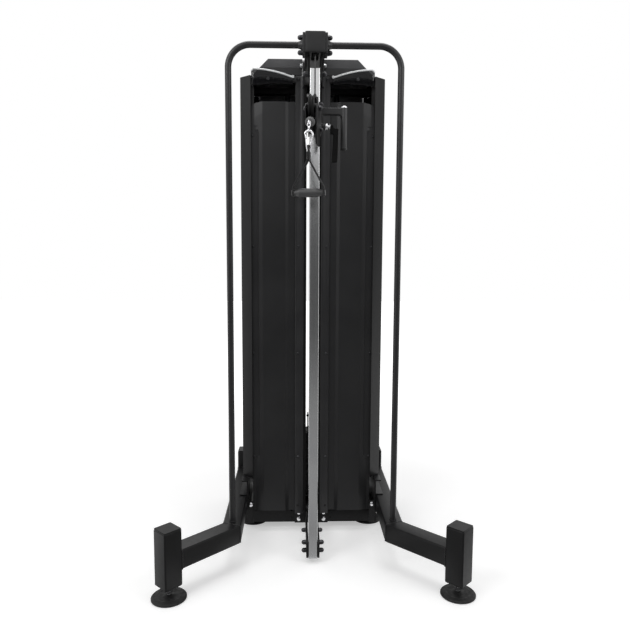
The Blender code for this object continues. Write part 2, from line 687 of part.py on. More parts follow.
# Head beam, bows and rail
def head_beam():
    """Square tube with slots under its pulleys, their axles, and the plates that clamp the rail."""
    shape = bmesh.new()
    half, wall = HALF_TUBE, BEAM_WALL
    middle = BEAM_TOP - half
    ring_prism(shape, rectangle(half, half, 0, middle), rectangle(half - wall, half - wall, 0, middle),
               "Y", BEAM_FRONT, BEAM_REAR)
    beam = add_object("head_beam", shape, BLACK_COAT)
    slots = bmesh.new()
    wide = PULLEY_WIDTH / 2 + 0.004
    box(slots, (-wide, wide), (HEAD_Y - RIM - 0.004, HEAD_Y + RIM + 0.004), (BEAM_BOTTOM - 0.01,
            BEAM_BOTTOM + wall + 0.001))
    box(slots, (-wide, wide), (CROWN_FRONT_Y - RIM - 0.004, CROWN_REAR_Y + RIM + 0.004),
        (BEAM_BOTTOM - 0.01, BEAM_BOTTOM + wall + 0.001))
    cut(beam, slots)
    axles = bmesh.new()
    reach = half - wall + 0.002
    for y in (HEAD_Y, CROWN_FRONT_Y, CROWN_REAR_Y):
        turned(axles, [(0.0, -reach), (AXLE_RADIUS, -reach), (AXLE_RADIUS, reach), (0.0, reach)], "X", y,
               HEAD_Z, 12)
    join(beam, axles)
    inner = RAIL_HALF + 0.0004
    outer = inner + RAIL_PLATE
    cheeks = bmesh.new()
    nuts = bmesh.new()
    for side in (-1, 1):
        outline = [(RAIL_FRONT + 0.003, RAIL_TOP - 0.036), (RAIL_REAR + 0.006, RAIL_TOP - 0.036),
                   (RAIL_REAR + 0.016, BEAM_BOTTOM + 0.002), (RAIL_FRONT + 0.003, BEAM_BOTTOM + 0.002)]
        prism(cheeks, outline, "X", *sorted((side * inner, side * outer)))
        dome_nut(nuts, "X", RAIL_MIDDLE, RAIL_TOP - 0.016, side * outer, side)
    join(beam, cheeks)
    join(beam, nuts)


def beam_cap():
    shape = bmesh.new()
    half = HALF_TUBE
    middle = BEAM_TOP - half
    face = BEAM_FRONT - GAP
    inner = half - BEAM_WALL - GAP
    rows = [(inner, BEAM_FRONT + 0.010), (inner, face), (half, face), (half, face - 0.002),
            (half - 0.010, face - CAP_DOME), (half * 0.4, face - CAP_DOME - 0.0015)]
    rings = [[shape.verts.new((u, y, middle + v)) for u, v in rectangle(size, size)] for size, y in rows]
    for near, far in zip(rings, rings[1:]):
        for a in range(4):
            b = (a + 1) % 4
            shape.faces.new((near[a], near[b], far[b], far[a]))
    shape.faces.new(rings[0])
    shape.faces.new(list(reversed(rings[-1])))
    add_object("beam_cap", shape, BLACK_COAT)


def bow(letter, side):
    """Round tube from the leg up and over to the head beam, with its bolted end plate."""
    middle = BEAM_TOP - HALF_TUBE
    plate_in = HALF_TUBE + GAP
    plate_out = plate_in + BOW_PLATE
    points = [(side * SIDE_LEG_X, BOW_Y, LEG_TOP + GAP)]
    arc = 8
    for i in range(arc + 1):
        turn = pi / 2 * i / arc
        points.append((side * (SIDE_LEG_X - BOW_BEND * (1 - cos(turn))), BOW_Y,
                       middle - BOW_BEND * (1 - sin(turn))))
    points.append((side * (plate_out - 0.002), BOW_Y, middle))
    shape = bmesh.new()
    swept(shape, points, BOW_RADIUS, 10)
    tube = add_object("bow_" + letter, shape, BLACK_COAT)
    plate = bmesh.new()
    a, b = sorted((side * plate_in, side * plate_out))
    box(plate, (a, b), (BOW_Y - HALF_TUBE, BOW_Y + HALF_TUBE), (BEAM_BOTTOM, BEAM_TOP))
    join(tube, plate)
    nuts = bmesh.new()
    for z in (middle - 0.0295, middle + 0.0295):
        dome_nut(nuts, "X", BOW_Y, z, side * plate_out, side)
    join(tube, nuts)


def rail():
    """Rectangular tube with a row of locking holes in its right wall."""
    shape = bmesh.new()
    depth = RAIL_DEPTH / 2
    ring_prism(shape, rectangle(RAIL_HALF, depth, 0, RAIL_MIDDLE),
               rectangle(RAIL_HALF - RAIL_WALL, depth - RAIL_WALL, 0,
                         RAIL_MIDDLE), "Z", RAIL_BOTTOM, RAIL_TOP)
    tube = add_object("rail", shape, BRIGHT_STEEL)
    holes = bmesh.new()
    for i in range(PIN_HOLES):
        z = PIN_Z + PIN_PITCH - i * PIN_PITCH
        prism(holes, circle(PIN_RADIUS + 0.0008, 8, RAIL_MIDDLE, z, pi / 8), "X",
              RAIL_HALF - RAIL_WALL - 0.002, RAIL_HALF + 0.002)
    cut(tube, holes)


def rail_foot_bracket():
    """Two plates on a flange: they clamp the rail's foot and carry the front base pulley."""
    inner = RAIL_HALF + 0.0004
    outer = inner + RAIL_PLATE
    face = BASE_FRONT - GAP
    low, high = 0.026, 0.112
    flange = 0.006
    shape = bmesh.new()
    box(shape, (-0.082, 0.082), (face - flange, face), (0.0305, 0.092))
    bracket = add_object("rail_foot_bracket", shape, BLACK_COAT)
    plates = bmesh.new()
    nuts = bmesh.new()
    for side in (-1, 1):
        profile = [(RAIL_FRONT - 0.004, low + 0.008), (RAIL_FRONT + 0.004, low), (face - 0.002,
                low + 0.006),
                   (face - 0.002, 0.089), (0.0, high), (RAIL_FRONT + 0.012, high), (RAIL_FRONT - 0.004,
                           high - 0.014)]
        prism(plates, profile, "X", *sorted((side * inner, side * outer)))
        for y, z in ((RAIL_MIDDLE, 0.0863), (RAIL_MIDDLE, 0.0495), (-0.036, 0.0660)):
            dome_nut(nuts, "X", y, z, side * outer, side)
        for z in (0.0838, 0.050):
            bolt_head(nuts, side * 0.061, z, face - flange, -1, 0.0082, 0.007)
    join(bracket, plates)
    join(bracket, nuts)
    axle = bmesh.new()
    turned(axle, [(0.0, -inner - 0.002), (AXLE_RADIUS, -inner - 0.002), (AXLE_RADIUS, inner + 0.002),
                  (0.0, inner + 0.002)],
           "X", BASE_PULLEY_Y, BASE_Z, 12)
    join(bracket, axle)


# Cable way
def pulley(name, y, z, groove=GROOVE, rim=RIM, width=PULLEY_WIDTH, bore=AXLE_RADIUS + 0.0006, x=0.0):
    """Turned pulley with a cable groove and a raised hub, free on its axle."""
    half = width / 2
    floor = groove - CABLE_RADIUS - 0.0004
    hub = bore + 0.006
    web = 0.004
    profile = [(bore, -half), (hub, -half), (hub, -web), (floor - 0.006, -web), (rim, -half + 0.003),
               (floor, -CABLE_RADIUS * 0.8), (floor, CABLE_RADIUS * 0.8), (rim, half - 0.003),
               (floor - 0.006, web), (hub, web), (hub, half), (bore, half)]
    shape = bmesh.new()
    turned(shape, [(r, w + x) for r, w in profile], "X", y, z, 12, closed=True)
    return add_object(name, shape, NYLON)


def cable(name, points):
    shape = bmesh.new()
    swept(shape, points, CABLE_RADIUS, 6)
    return add_object(name, shape, CABLE_COAT)


def arc(y, z, first, last, steps=6):
    """Points round a pulley, from one angle to another, measured from +Y towards +Z."""
    return [(0, y + GROOVE * cos(radians(first + (last - first) * i / steps)),
             z + GROOVE * sin(radians(first + (last - first) * i / steps))) for i in range(steps + 1)]


def cables():
    """Straight runs that rise and fall with what they pull, and the runs that stay where they are."""
    top = HEAD_Z - 2 * GAP    # the fixed runs' cut ends lean a little
    cable("cable_front", [(0, CABLE_Y, FORK_PULLEY_Z + GAP), (0, CABLE_Y, top)])
    cable("cable_stack_front", [(0, STACK_Y - GROOVE, BLOCK_PULLEY_Z + GAP), (0, STACK_Y - GROOVE, top)])
    cable("cable_stack_rear", [(0, STACK_Y + GROOVE, BLOCK_PULLEY_Z + GAP), (0, STACK_Y + GROOVE, top)])
    cable("cable_lower", [(0, LOWER_CABLE_Y, BASE_Z + GAP), (0, LOWER_CABLE_Y, SLEEVE_LOW - GAP)])
    cable("cable_beam", arc(HEAD_Y, HEAD_Z, 180, 90) + arc(CROWN_FRONT_Y, HEAD_Z, 90, 0))
    cable("cable_back", arc(CROWN_REAR_Y, HEAD_Z, 180, 0, 12) + arc(CROWN_REAR_Y, BASE_Z, 0, -90)
          + arc(BASE_PULLEY_Y, BASE_Z, -90, -180))
    centre_y, centre_z = -FORK_PULLEY_REACH, FORK_PULLEY_Z
    leave = radians(13)
    points = [(0, centre_y + FORK_GROOVE * cos(pi / 2 * i / 6 * (1 - leave / (pi / 2))),
               centre_z - FORK_GROOVE * sin(pi / 2 * i / 6 * (1 - leave / (pi / 2)))) for i in range(7)]
    points.append((0, -BALL_REACH + BALL_RADIUS + GAP, BALL_Z + BALL_RADIUS * 0.22))
    shape = bmesh.new()
    swept(shape, points, CABLE_RADIUS, 6)
    add_object("cable_handle", swivelled(shape), CABLE_COAT)


# Weight stack
def guide_rod(letter, side):
    shape = bmesh.new()
    x = side * ROD_X
    low = BED_TOP + GAP
    wide = ROD_RADIUS + 0.013
    turned(shape, [(0.0, low), (wide, low), (wide, low + BUMPER - 0.004),
                   (wide - 0.003, low + BUMPER - GAP),
                   (ROD_RADIUS, low + BUMPER - GAP), (ROD_RADIUS, ROD_TOP), (0.0, ROD_TOP)], "Z", x,
                           STACK_Y, 12)
    add_object("guide_rod_" + letter, shape, BRIGHT_STEEL)


def plate_block(name, low, count, thickness, chamfer=0.003):
    """Weight plates lying on each other: the chamfered edges show each plate."""
    half_x, half_y = PLATE_WIDTH / 2, PLATE_DEPTH / 2
    levels = []
    for i in range(count):
        z = low + i * thickness
        levels += [(chamfer, z), (0.0, z + chamfer), (0.0, z + thickness - chamfer)]
    levels.append((chamfer, low + count * thickness))
    shape = bmesh.new()
    rings = [[shape.verts.new((u, STACK_Y + v, z)) for u, v in rectangle(half_x - inset, half_y - inset)]
             for inset, z in levels]
    for near, far in zip(rings, rings[1:]):
        for a in range(4):
            b = (a + 1) % 4
            shape.faces.new((near[a], near[b], far[b], far[a]))
    shape.faces.new(rings[0])
    shape.faces.new(list(reversed(rings[-1])))
    block = add_object(name, shape, CAST)
    high = low + count * thickness
    bores = bmesh.new()
    for x, radius in ((-ROD_X, ROD_RADIUS + RUNNING), (ROD_X, ROD_RADIUS + RUNNING), (0.0,
            STEM_BAR + RUNNING)):
        prism(bores, circle(radius, 12, x, STACK_Y), "Z", low - 0.01, high + 0.01)
    cut(block, bores)
    if count > 1:
        holes = bmesh.new()
        for i in range(count):
            z = low + (i + 0.5) * thickness
            prism(holes, circle(SELECTOR_RADIUS + 0.001, 6, 0.0, z), "Y", STACK_Y - half_y - 0.01, STACK_Y)
        cut(block, holes)


def selector_stem():
    """Bar that hangs from the top plate through all plates, with a hole for the pin at each plate."""
    low = REST_LOW + 0.006
    shape = bmesh.new()
    turned(shape, [(0.0, low), (STEM_BAR - 0.002, low), (STEM_BAR, low + 0.003), (STEM_BAR, TOP_HIGH + GAP),
                   (STEM_BAR + 0.006, TOP_HIGH + GAP), (STEM_BAR + 0.006, TOP_HIGH + 0.010), (0.0,
                           TOP_HIGH + 0.010)],
           "Z", 0.0, STACK_Y, 12)
    stem = add_object("selector_stem", shape, BRIGHT_STEEL)
    holes = bmesh.new()
    for i in range(LIFTED_PLATES):
        z = LIFT_LOW + (i + 0.5) * PLATE_THICKNESS
        prism(holes, circle(SELECTOR_RADIUS + 0.001, 6, 0.0, z), "Y", STACK_Y - 0.03, STACK_Y + 0.03)
    for i in range(REST_PLATES):
        z = REST_LOW + (i + 0.5) * PLATE_THICKNESS
        if z > low + 0.01:
            prism(holes, circle(SELECTOR_RADIUS + 0.001, 6, 0.0, z), "Y", STACK_Y - 0.03, STACK_Y + 0.03)
    cut(stem, holes)


def pulley_block():
    """U-shaped block on the top plate that holds the floating pulley."""
    half = PULLEY_WIDTH / 2 + 0.002
    wall = 0.005
    low = TOP_HIGH + 0.010 + GAP
    shape = bmesh.new()
    outline = [(-half - wall, low), (half + wall, low), (half + wall, BLOCK_PULLEY_Z + 0.014), (half,
            BLOCK_PULLEY_Z + 0.014),
               (half, low + 0.006), (-half, low + 0.006), (-half, BLOCK_PULLEY_Z + 0.014), (-half - wall,
                       BLOCK_PULLEY_Z + 0.014)]
    prism(shape, outline, "Y", STACK_Y - 0.018, STACK_Y + 0.018)
    block = add_object("pulley_block", shape, BLACK_COAT)
    axle = bmesh.new()
    reach = half + wall + 0.004
    turned(axle, [(0.0, -reach), (AXLE_RADIUS, -reach), (AXLE_RADIUS, reach), (0.0, reach)], "X", STACK_Y,
           BLOCK_PULLEY_Z, 12)
    join(block, axle)


def selector_pin():
    """Pin through the selected plate and the stem, with a round knob in front of the stack."""
    face = STACK_Y - PLATE_DEPTH / 2
    shape = bmesh.new()
    turned(shape, [(0.0, STACK_Y + 0.010), (SELECTOR_RADIUS, STACK_Y + 0.008),
                   (SELECTOR_RADIUS, face - GAP), (0.009, face - GAP),
                   (0.009, face - 0.006), (0.006, face - 0.010), (0.014, face - 0.018), (0.014,
                           face - 0.030),
                   (0.009, face - 0.036), (0.0, face - 0.037)], "Y", 0.0, SELECTED_Z, 12)
    add_object("selector_pin", shape, CHROME)


# Carriage
def carriage():
    """Sleeve round the rail with the swivel ears, the plunger barrel and the welded grip."""
    inner_x = RAIL_HALF + RUNNING
    depth_in = RAIL_DEPTH / 2 + RUNNING
    shape = bmesh.new()
    ring_prism(shape, rectangle(inner_x + SLEEVE_WALL, depth_in + SLEEVE_WALL, 0, RAIL_MIDDLE),
               rectangle(inner_x, depth_in, 0, RAIL_MIDDLE), "Z", SLEEVE_LOW, SLEEVE_HIGH)
    sleeve = add_object("carriage", shape, BLACK_COAT)
    bevel(sleeve, 0.001)
    half = 0.0125
    front = CABLE_Y - half
    back = SLEEVE_FRONT + 0.003
    high = FLANGE_LOW + EAR + GAP
    low = FORK_LOW - GAP
    mount = bmesh.new()
    outline = [(back, low - EAR), (back, high + EAR), (front, high + EAR), (front, high),
               (SLEEVE_FRONT - 0.0004, high),
               (SLEEVE_FRONT - 0.0004, low), (front, low), (front, low - EAR)]
    prism(mount, outline, "X", -half, half)
    join(sleeve, mount)
    studs = bmesh.new()
    radius = SWIVEL_BORE - 0.0005
    turned(studs, [(0.0, high + 0.001), (radius, high + 0.001), (radius, high - EAR), (0.0, high - EAR)],
           "Z", 0, CABLE_Y, 12)
    turned(studs, [(0.0, low - 0.001), (radius, low - 0.001), (radius, low + EAR), (0.0, low + EAR)], "Z",
           0, CABLE_Y, 12)
    join(sleeve, studs)
    others = bmesh.new()
    box(others, (-0.007, 0.007), (SLEEVE_REAR - 0.002, LOWER_CABLE_Y + 0.008), (SLEEVE_LOW + 0.0002,
            SLEEVE_LOW + 0.020))
    start = SLEEVE_HALF - 0.002
    box(others, (start, GRIP_X), (RAIL_MIDDLE - 0.0125, RAIL_MIDDLE + 0.0125), (ARM_LOW, ARM_HIGH))
    turned(others, [(0.0, start), (BARREL_RADIUS, start), (BARREL_RADIUS, 0.0440),
                    (BARREL_RADIUS + 0.0015, 0.0445),
                    (BARREL_RADIUS + 0.0015, BARREL_END), (0.0, BARREL_END)], "X", RAIL_MIDDLE, PIN_Z, 14)
    join(sleeve, others)
    tube = bmesh.new()
    turned(tube, [(0.0, GRIP_LOW - 0.002), (GRIP_RADIUS - 0.003, GRIP_LOW),
                  (GRIP_RADIUS + 0.001, GRIP_LOW + 0.003),
                  (GRIP_RADIUS + 0.001, GRIP_LOW + 0.008), (GRIP_RADIUS, GRIP_LOW + 0.009), (GRIP_RADIUS,
                          GRIP_HIGH - 0.006),
                  (GRIP_RADIUS - 0.001, GRIP_HIGH - 0.005), (GRIP_RADIUS - 0.002, GRIP_HIGH - 0.001), (0.0,
                          GRIP_HIGH)],
           "Z", GRIP_X, RAIL_MIDDLE, 14)
    join(sleeve, tube)
    bores = bmesh.new()
    prism(bores, circle(CABLE_RADIUS + 0.0013, 10, 0, CABLE_Y), "Z", high - 0.01, high + 0.02)
    prism(bores, circle(PIN_RADIUS + 0.0006, 12, RAIL_MIDDLE, PIN_Z), "X", RAIL_HALF, BARREL_END + 0.01)
    cut(sleeve, bores)


def plunger():
    """Locking pin, drawn just clear of the rail, and the cranked lever that pulls it to the grip."""
    shape = bmesh.new()
    tip = RAIL_HALF + 0.0004
    knob = BARREL_END + PIN_TRAVEL + 0.0005
    turned(shape, [(0.0, tip), (PIN_RADIUS - 0.001, tip), (PIN_RADIUS, tip + 0.001), (PIN_RADIUS, knob),
                   (0.0105, knob),
                   (0.0105, knob + 0.003), (0.0, knob + 0.003)], "X", RAIL_MIDDLE, PIN_Z, 12)
    add_object("plunger_pin", shape, CHROME)
    start = knob + 0.003 + GAP
    profile = [(start, 1.853), (start, LEVER_HIGH), (0.0760, LEVER_HIGH), (0.0800, 1.876), (0.0960, 1.876),
               (0.0985, 1.872),
               (0.0955, LEVER_LOW + 0.002), (0.0935, LEVER_LOW), (0.0735, LEVER_LOW), (0.0717,
                       LEVER_LOW + 0.002), (0.0780, 1.853)]
    lever = bmesh.new()
    prism(lever, profile, "Y", RAIL_MIDDLE - 0.009, RAIL_MIDDLE + 0.009)
    made = add_object("squeeze_lever", lever, RUBBER)
    bevel(made, 0.0015)


# Fork: built pointing straight ahead about the swivel axis, then turned
def swivelled(shape):
    """Turns a shape that was built about the origin by the fork's angle, and puts it on its axis."""
    turn = Matrix.Rotation(-SWIVEL, 3, "Z")
    bmesh.ops.rotate(shape, verts=shape.verts, cent=(0, 0, 0), matrix=turn)
    bmesh.ops.translate(shape, verts=shape.verts, vec=(0, CABLE_Y, 0))
    return shape


def fork():
    """Two side plates on a narrow swivel tongue, the pulley's axle and the plate that stops the ball."""
    inner = FORK_HALF - FORK_PLATE
    narrow = 0.0100
    back = 0.0112
    tongue = bmesh.new()
    outline = [(back, FORK_LOW), (back, FLANGE_LOW + EAR), (-back, FLANGE_LOW + EAR), (-back, FLANGE_LOW),
               (back - 0.0045, FLANGE_LOW),
               (back - 0.0045, FORK_LOW + EAR), (-0.024, FORK_LOW + EAR), (-0.024, FORK_LOW)]
    prism(tongue, outline, "X", -narrow, narrow)
    made = add_object("fork", swivelled(tongue), BLACK_COAT)
    web = bmesh.new()
    box(web, (-inner - 0.002, inner + 0.002), (-0.0240, -FORK_BACK - 0.0004), (FORK_LOW + 0.0002,
            FORK_LOW + EAR - 0.0002))
    box(web, (-inner - 0.002, inner + 0.002), (-STOP_REACH, -STOP_REACH + 0.004), (FORK_LOW + 0.007,
            FORK_LOW + 0.033))
    join(made, swivelled(web))
    plates = bmesh.new()
    nuts = bmesh.new()
    end = -FORK_REACH
    top = [(end, FORK_HIGH - 0.012), (end + 0.012, FORK_HIGH), (-0.034, FORK_HIGH), (-0.024,
            FORK_HIGH + 0.020),
           (-FORK_BACK, FORK_HIGH + 0.020)]
    left = [(-FORK_BACK, FORK_LOW - 0.001), (-0.030, FORK_LOW - 0.005), (end + 0.012, FORK_LOW - 0.005),
            (end, FORK_LOW + 0.007)]
    right = [(-FORK_BACK, FORK_LOW - 0.001), (-0.022, FORK_TAB + 0.010), (-0.030, FORK_TAB), (end + 0.008,
            FORK_TAB), (end, FORK_TAB + 0.008)]
    for side, bottom in ((-1, left), (1, right)):
        prism(plates, bottom + top, "X", *sorted((side * inner, side * FORK_HALF)))
        dome_nut(nuts, "X", -FORK_PULLEY_REACH, FORK_PULLEY_Z, side * FORK_HALF, side, 0.0085, 0.014)
        for z in (FORK_HIGH + 0.010, FORK_LOW + 0.008):
            dome_nut(nuts, "X", -FORK_BACK - 0.0105, z, side * FORK_HALF, side, 0.0072, 0.012)
    join(made, swivelled(plates))
    join(made, swivelled(nuts))
    pin = bmesh.new()
    reach = inner + 0.002
    turned(pin, [(0.0, -reach), (AXLE_RADIUS, -reach), (AXLE_RADIUS, reach), (0.0, reach)], "X",
           -FORK_PULLEY_REACH, FORK_PULLEY_Z, 12)
    join(made, swivelled(pin))
    bores = bmesh.new()
    prism(bores, circle(SWIVEL_BORE, 12), "Z", FLANGE_LOW - 0.004, FLANGE_LOW + 0.010)
    prism(bores, circle(SWIVEL_BORE, 12), "Z", FORK_LOW - 0.004, FORK_LOW + 0.010)
    prism(bores, circle(CABLE_RADIUS + 0.0025, 10, 0.0, BALL_Z + 0.005), "Y", -STOP_REACH - 0.002,
          -STOP_REACH + 0.006)
    cut(made, swivelled(bores))


def fork_pulley():
    wheel = pulley("fork_pulley", -FORK_PULLEY_REACH, FORK_PULLEY_Z, FORK_GROOVE, FORK_RIM, 0.028)
    wheel.data.transform(Matrix.Translation((0, CABLE_Y, 0)) @ Matrix.Rotation(-SWIVEL, 4, "Z"))


# Handle: built about the swivel axis like the fork
def ball_stop():
    """Rubber ball on the cable's end, with the eye in front of it that holds the hook."""
    rings = 6
    profile = [(0.0, -BALL_REACH + BALL_RADIUS)]
    profile += [(BALL_RADIUS * sin(pi * i / rings),
                 -BALL_REACH + BALL_RADIUS * cos(pi * i / rings)) for i in range(1, rings)]
    profile.append((0.0, -BALL_REACH - BALL_RADIUS))
    shape = bmesh.new()
    turned(shape, profile, "Y", 0.0, BALL_Z, 14)
    ball = add_object("ball_stop", swivelled(shape), RUBBER)
    eye = bmesh.new()
    outer, inner = HOOK_WIRE + 0.0052, HOOK_WIRE + 0.0018
    centre = (-HOOK_REACH, HOOK_HIGH - HOOK_WIRE)
    ring_prism(eye, circle(outer, 12, *centre), circle(inner, 12, *centre), "X", -0.0025, 0.0025)
    join(ball, swivelled(eye))
    neck = bmesh.new()
    turned(neck, [(0.0, -BALL_REACH - BALL_RADIUS + 0.006), (0.0045, -BALL_REACH - BALL_RADIUS + 0.006),
                  (0.0045, -HOOK_REACH + outer - 0.002), (0.0, -HOOK_REACH + outer - 0.002)], "Y", 0.0,
                          HOOK_HIGH - HOOK_WIRE + 0.001, 10)
    join(ball, swivelled(neck))


def hook_line():
    """Centre line of the pear-shaped hook, clockwise from its top, in its own plane."""
    count = 20
    high, low = HOOK_HIGH - HOOK_WIRE, HOOK_LOW + HOOK_WIRE
    line = []
    for i in range(count):
        turn = 2 * pi * i / count
        z = (high + low) / 2 + (high - low) / 2 * cos(turn)
        share = (z - low) / (high - low)
        width = (HOOK_WIDTH / 2 - HOOK_WIRE) * (0.46 + 0.54 * min(1.0, share / 0.62) ** 0.9)
        line.append(Vector((width * sin(turn), -HOOK_REACH, z)))
    return line


def snap_hook():
    """Bent bar that is open on its left side, and the gate that closes it there."""
    line = hook_line()
    first, last = 14, 17
    body = bmesh.new()
    swept(body, line[last:] + line[:first], HOOK_WIRE, 8)
    add_object("snap_hook", swivelled(body), CHROME)
    radius = HOOK_WIRE * 0.8
    leaving = (line[first - 1] - line[first - 2]).normalized()
    pivot = line[first - 1] + leaving * (radius + 0.0005)
    along = line[last] - pivot
    length = along.length - 0.0028
    profile = [(0.0, -radius), (radius * 0.5, -radius * 0.87), (radius * 0.87, -radius * 0.5), (radius,
            0.0),
               (radius, length - radius * 0.5), (radius * 0.6, length), (0.0, length)]
    gate = bmesh.new()
    turned(gate, profile, "Z", 0.0, 0.0, 8)
    turn = Vector((0, 0, 1)).rotation_difference(along.normalized()).to_matrix()
    bmesh.ops.rotate(gate, verts=gate.verts, cent=(0, 0, 0), matrix=turn)
    bmesh.ops.translate(gate, verts=gate.verts, vec=pivot)
    add_object("hook_gate", swivelled(gate), CHROME)


def handle_strap():
    """Webbing loop: a sewn neck round the hook's bottom and two legs down to the ends of the grip."""
    eye_top = HOOK_LOW + 2 * HOOK_WIRE + 0.0076
    eye_low = HOOK_LOW - 0.0008
    outer = GRIP_LENGTH / 2 - 0.0024
    inner = outer - STRAP_THICKNESS
    bottom = HANDLE_Z - 0.0145
    bend = HANDLE_Z + HANDLE_RADIUS + 0.004
    right = [(0.003, eye_top + 0.005), (0.003, eye_low), (0.0055, eye_low - 0.006), (0.0065, STRAP_NECK),
             (outer, bend),
             (outer, bottom), (inner, bottom), (inner, bend - 0.001)]
    outline = right + [(0.0, STRAP_NECK - 0.012)] + mirrored(right, -1)
    shape = bmesh.new()
    prism(shape, outline, "Y", -HOOK_REACH - STRAP_WIDTH / 2, -HOOK_REACH + STRAP_WIDTH / 2)
    strap = add_object("handle_strap", swivelled(shape), WEBBING)
    holes = bmesh.new()
    prism(holes, rectangle(HOOK_WIRE + 0.0008, (eye_top - eye_low) / 2, -HOOK_REACH,
                           (eye_top + eye_low) / 2), "X", -0.02, 0.02)
    prism(holes, circle(GRIP_NECK + 0.001, 12, -HOOK_REACH, HANDLE_Z), "X", -outer - 0.01, outer + 0.01)
    cut(strap, swivelled(holes))


def handle_grip():
    """Bulged grip whose necks turn in the strap's ends."""
    outer = GRIP_LENGTH / 2
    inner = outer - 0.0024 - STRAP_THICKNESS - 0.0008
    half = [(HANDLE_RADIUS + 0.0005, 0.0), (HANDLE_RADIUS, inner - 0.034), (0.0135, inner - 0.012),
            (0.0115, inner - 0.009),
            (0.0115, inner), (GRIP_NECK, inner), (GRIP_NECK, outer - 0.0016), (0.0115, outer - 0.0016),
                    (0.0105, outer + 0.001), (0.0, outer + 0.001)]
    profile = [(r, -w) for r, w in reversed(half[1:])] + half
    shape = bmesh.new()
    turned(shape, profile, "X", -HOOK_REACH, HANDLE_Z, 12)
    add_object("handle_grip", swivelled(shape), RUBBER)


for letter, side in SIDES:
    leg_frame(letter, side)
    levelling_foot("foot_front_" + letter, side * POST_X, -POST_Y, POST_BOTTOM)
    levelling_foot("foot_rear_" + letter, side * SIDE_LEG_X, POST_Y, POST_BOTTOM)
    levelling_foot("foot_tower_" + letter, side * BASE_FOOT_X, BASE_FRONT + 0.102, BASE_BOTTOM, 12)
    base_bracket(letter, side)
    side_frame(letter, side)
    side_cover(letter, side)
    guard("front_guard_" + letter, side, TOWER_FRONT, 1)
    guard("rear_guard_" + letter, side, TOWER_REAR, -1)
    top_shield(letter, side)
    bow(letter, side)
    guide_rod(letter, side)
base_frame()
rod_bridge()
hood()
head_beam()
beam_cap()
rail()
rail_foot_bracket()
pulley("head_pulley", HEAD_Y, HEAD_Z)
pulley("crown_pulley_front", CROWN_FRONT_Y, HEAD_Z)
pulley("crown_pulley_rear", CROWN_REAR_Y, HEAD_Z)
pulley("base_pulley_rear", CROWN_REAR_Y, BASE_Z)
pulley("base_pulley_front", BASE_PULLEY_Y, BASE_Z)
pulley("stack_pulley", STACK_Y, BLOCK_PULLEY_Z)
cables()
plate_block("rest_plates", REST_LOW, REST_PLATES, PLATE_THICKNESS)
plate_block("lifted_plates", LIFT_LOW, LIFTED_PLATES, PLATE_THICKNESS)
plate_block("top_plate", TOP_LOW, 1, TOP_PLATE)
selector_stem()
pulley_block()
selector_pin()
carriage()
plunger()
fork()
fork_pulley()
ball_stop()
snap_hook()
handle_strap()
handle_grip()
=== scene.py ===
# %% [markdown]
# # A cable machine, dressed for its photograph
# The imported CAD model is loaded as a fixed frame. Every cell below either gives
# one of its pieces a finish, or builds a finer piece that stands in its place.

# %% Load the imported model
import json
from math import asin, atan2, cos, pi, radians, sin, sqrt, tan

import bmesh
import bpy
from mathutils import Matrix, Vector


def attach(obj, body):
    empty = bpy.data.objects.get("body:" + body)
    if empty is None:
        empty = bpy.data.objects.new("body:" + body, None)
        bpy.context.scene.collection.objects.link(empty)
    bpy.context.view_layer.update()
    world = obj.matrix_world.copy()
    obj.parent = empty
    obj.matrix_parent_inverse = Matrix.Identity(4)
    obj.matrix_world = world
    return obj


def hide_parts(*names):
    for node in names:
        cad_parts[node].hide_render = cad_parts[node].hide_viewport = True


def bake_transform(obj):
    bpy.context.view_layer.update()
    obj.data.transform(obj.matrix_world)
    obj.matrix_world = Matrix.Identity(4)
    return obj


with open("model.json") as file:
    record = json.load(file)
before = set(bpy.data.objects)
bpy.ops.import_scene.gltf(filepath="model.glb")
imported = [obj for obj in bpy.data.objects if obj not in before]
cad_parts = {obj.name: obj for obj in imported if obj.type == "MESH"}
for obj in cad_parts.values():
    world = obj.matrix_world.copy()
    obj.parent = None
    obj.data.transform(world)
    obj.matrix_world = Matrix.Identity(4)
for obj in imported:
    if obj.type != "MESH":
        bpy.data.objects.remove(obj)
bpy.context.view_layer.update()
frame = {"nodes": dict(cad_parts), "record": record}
body_of = {node: body for body, nodes in frame["record"]["behaviour"]["bodies"].items()
           for node in nodes}
scene = bpy.context.scene
scene.view_settings.view_transform = "Standard"
SIDES = (("l", -1), ("r", 1))


# %% Objects, meshes and shader steps from one call each
def linked(name, data):
    thing = bpy.data.objects.new(name, data)
    scene.collection.objects.link(thing)
    return thing


def mesh_of(name, points, edges=None, faces=None):
    mesh = bpy.data.meshes.new(name)
    mesh.from_pydata([tuple(point) for point in points], edges or [], faces or [])
    return mesh


def put(tree, kind, links=None, values=None, **settings):
    """A new node: its settings, then values for its sockets, then what is linked into them."""
    node = tree.nodes.new(kind)
    for name, value in settings.items():
        setattr(node, name, value)
    for socket, value in (values or {}).items():
        node.inputs[socket].default_value = value
    for socket, source in (links or {}).items():
        tree.links.new(source, node.inputs[socket])
    return node


# %% [markdown]
# ## The camera
# The photograph was fitted to a pinhole camera: a place, three small angles and a
# focal length. The angles make three axes, and a camera object looks down its own -Z,
# so the axes go into its matrix as columns: right, up and backwards.

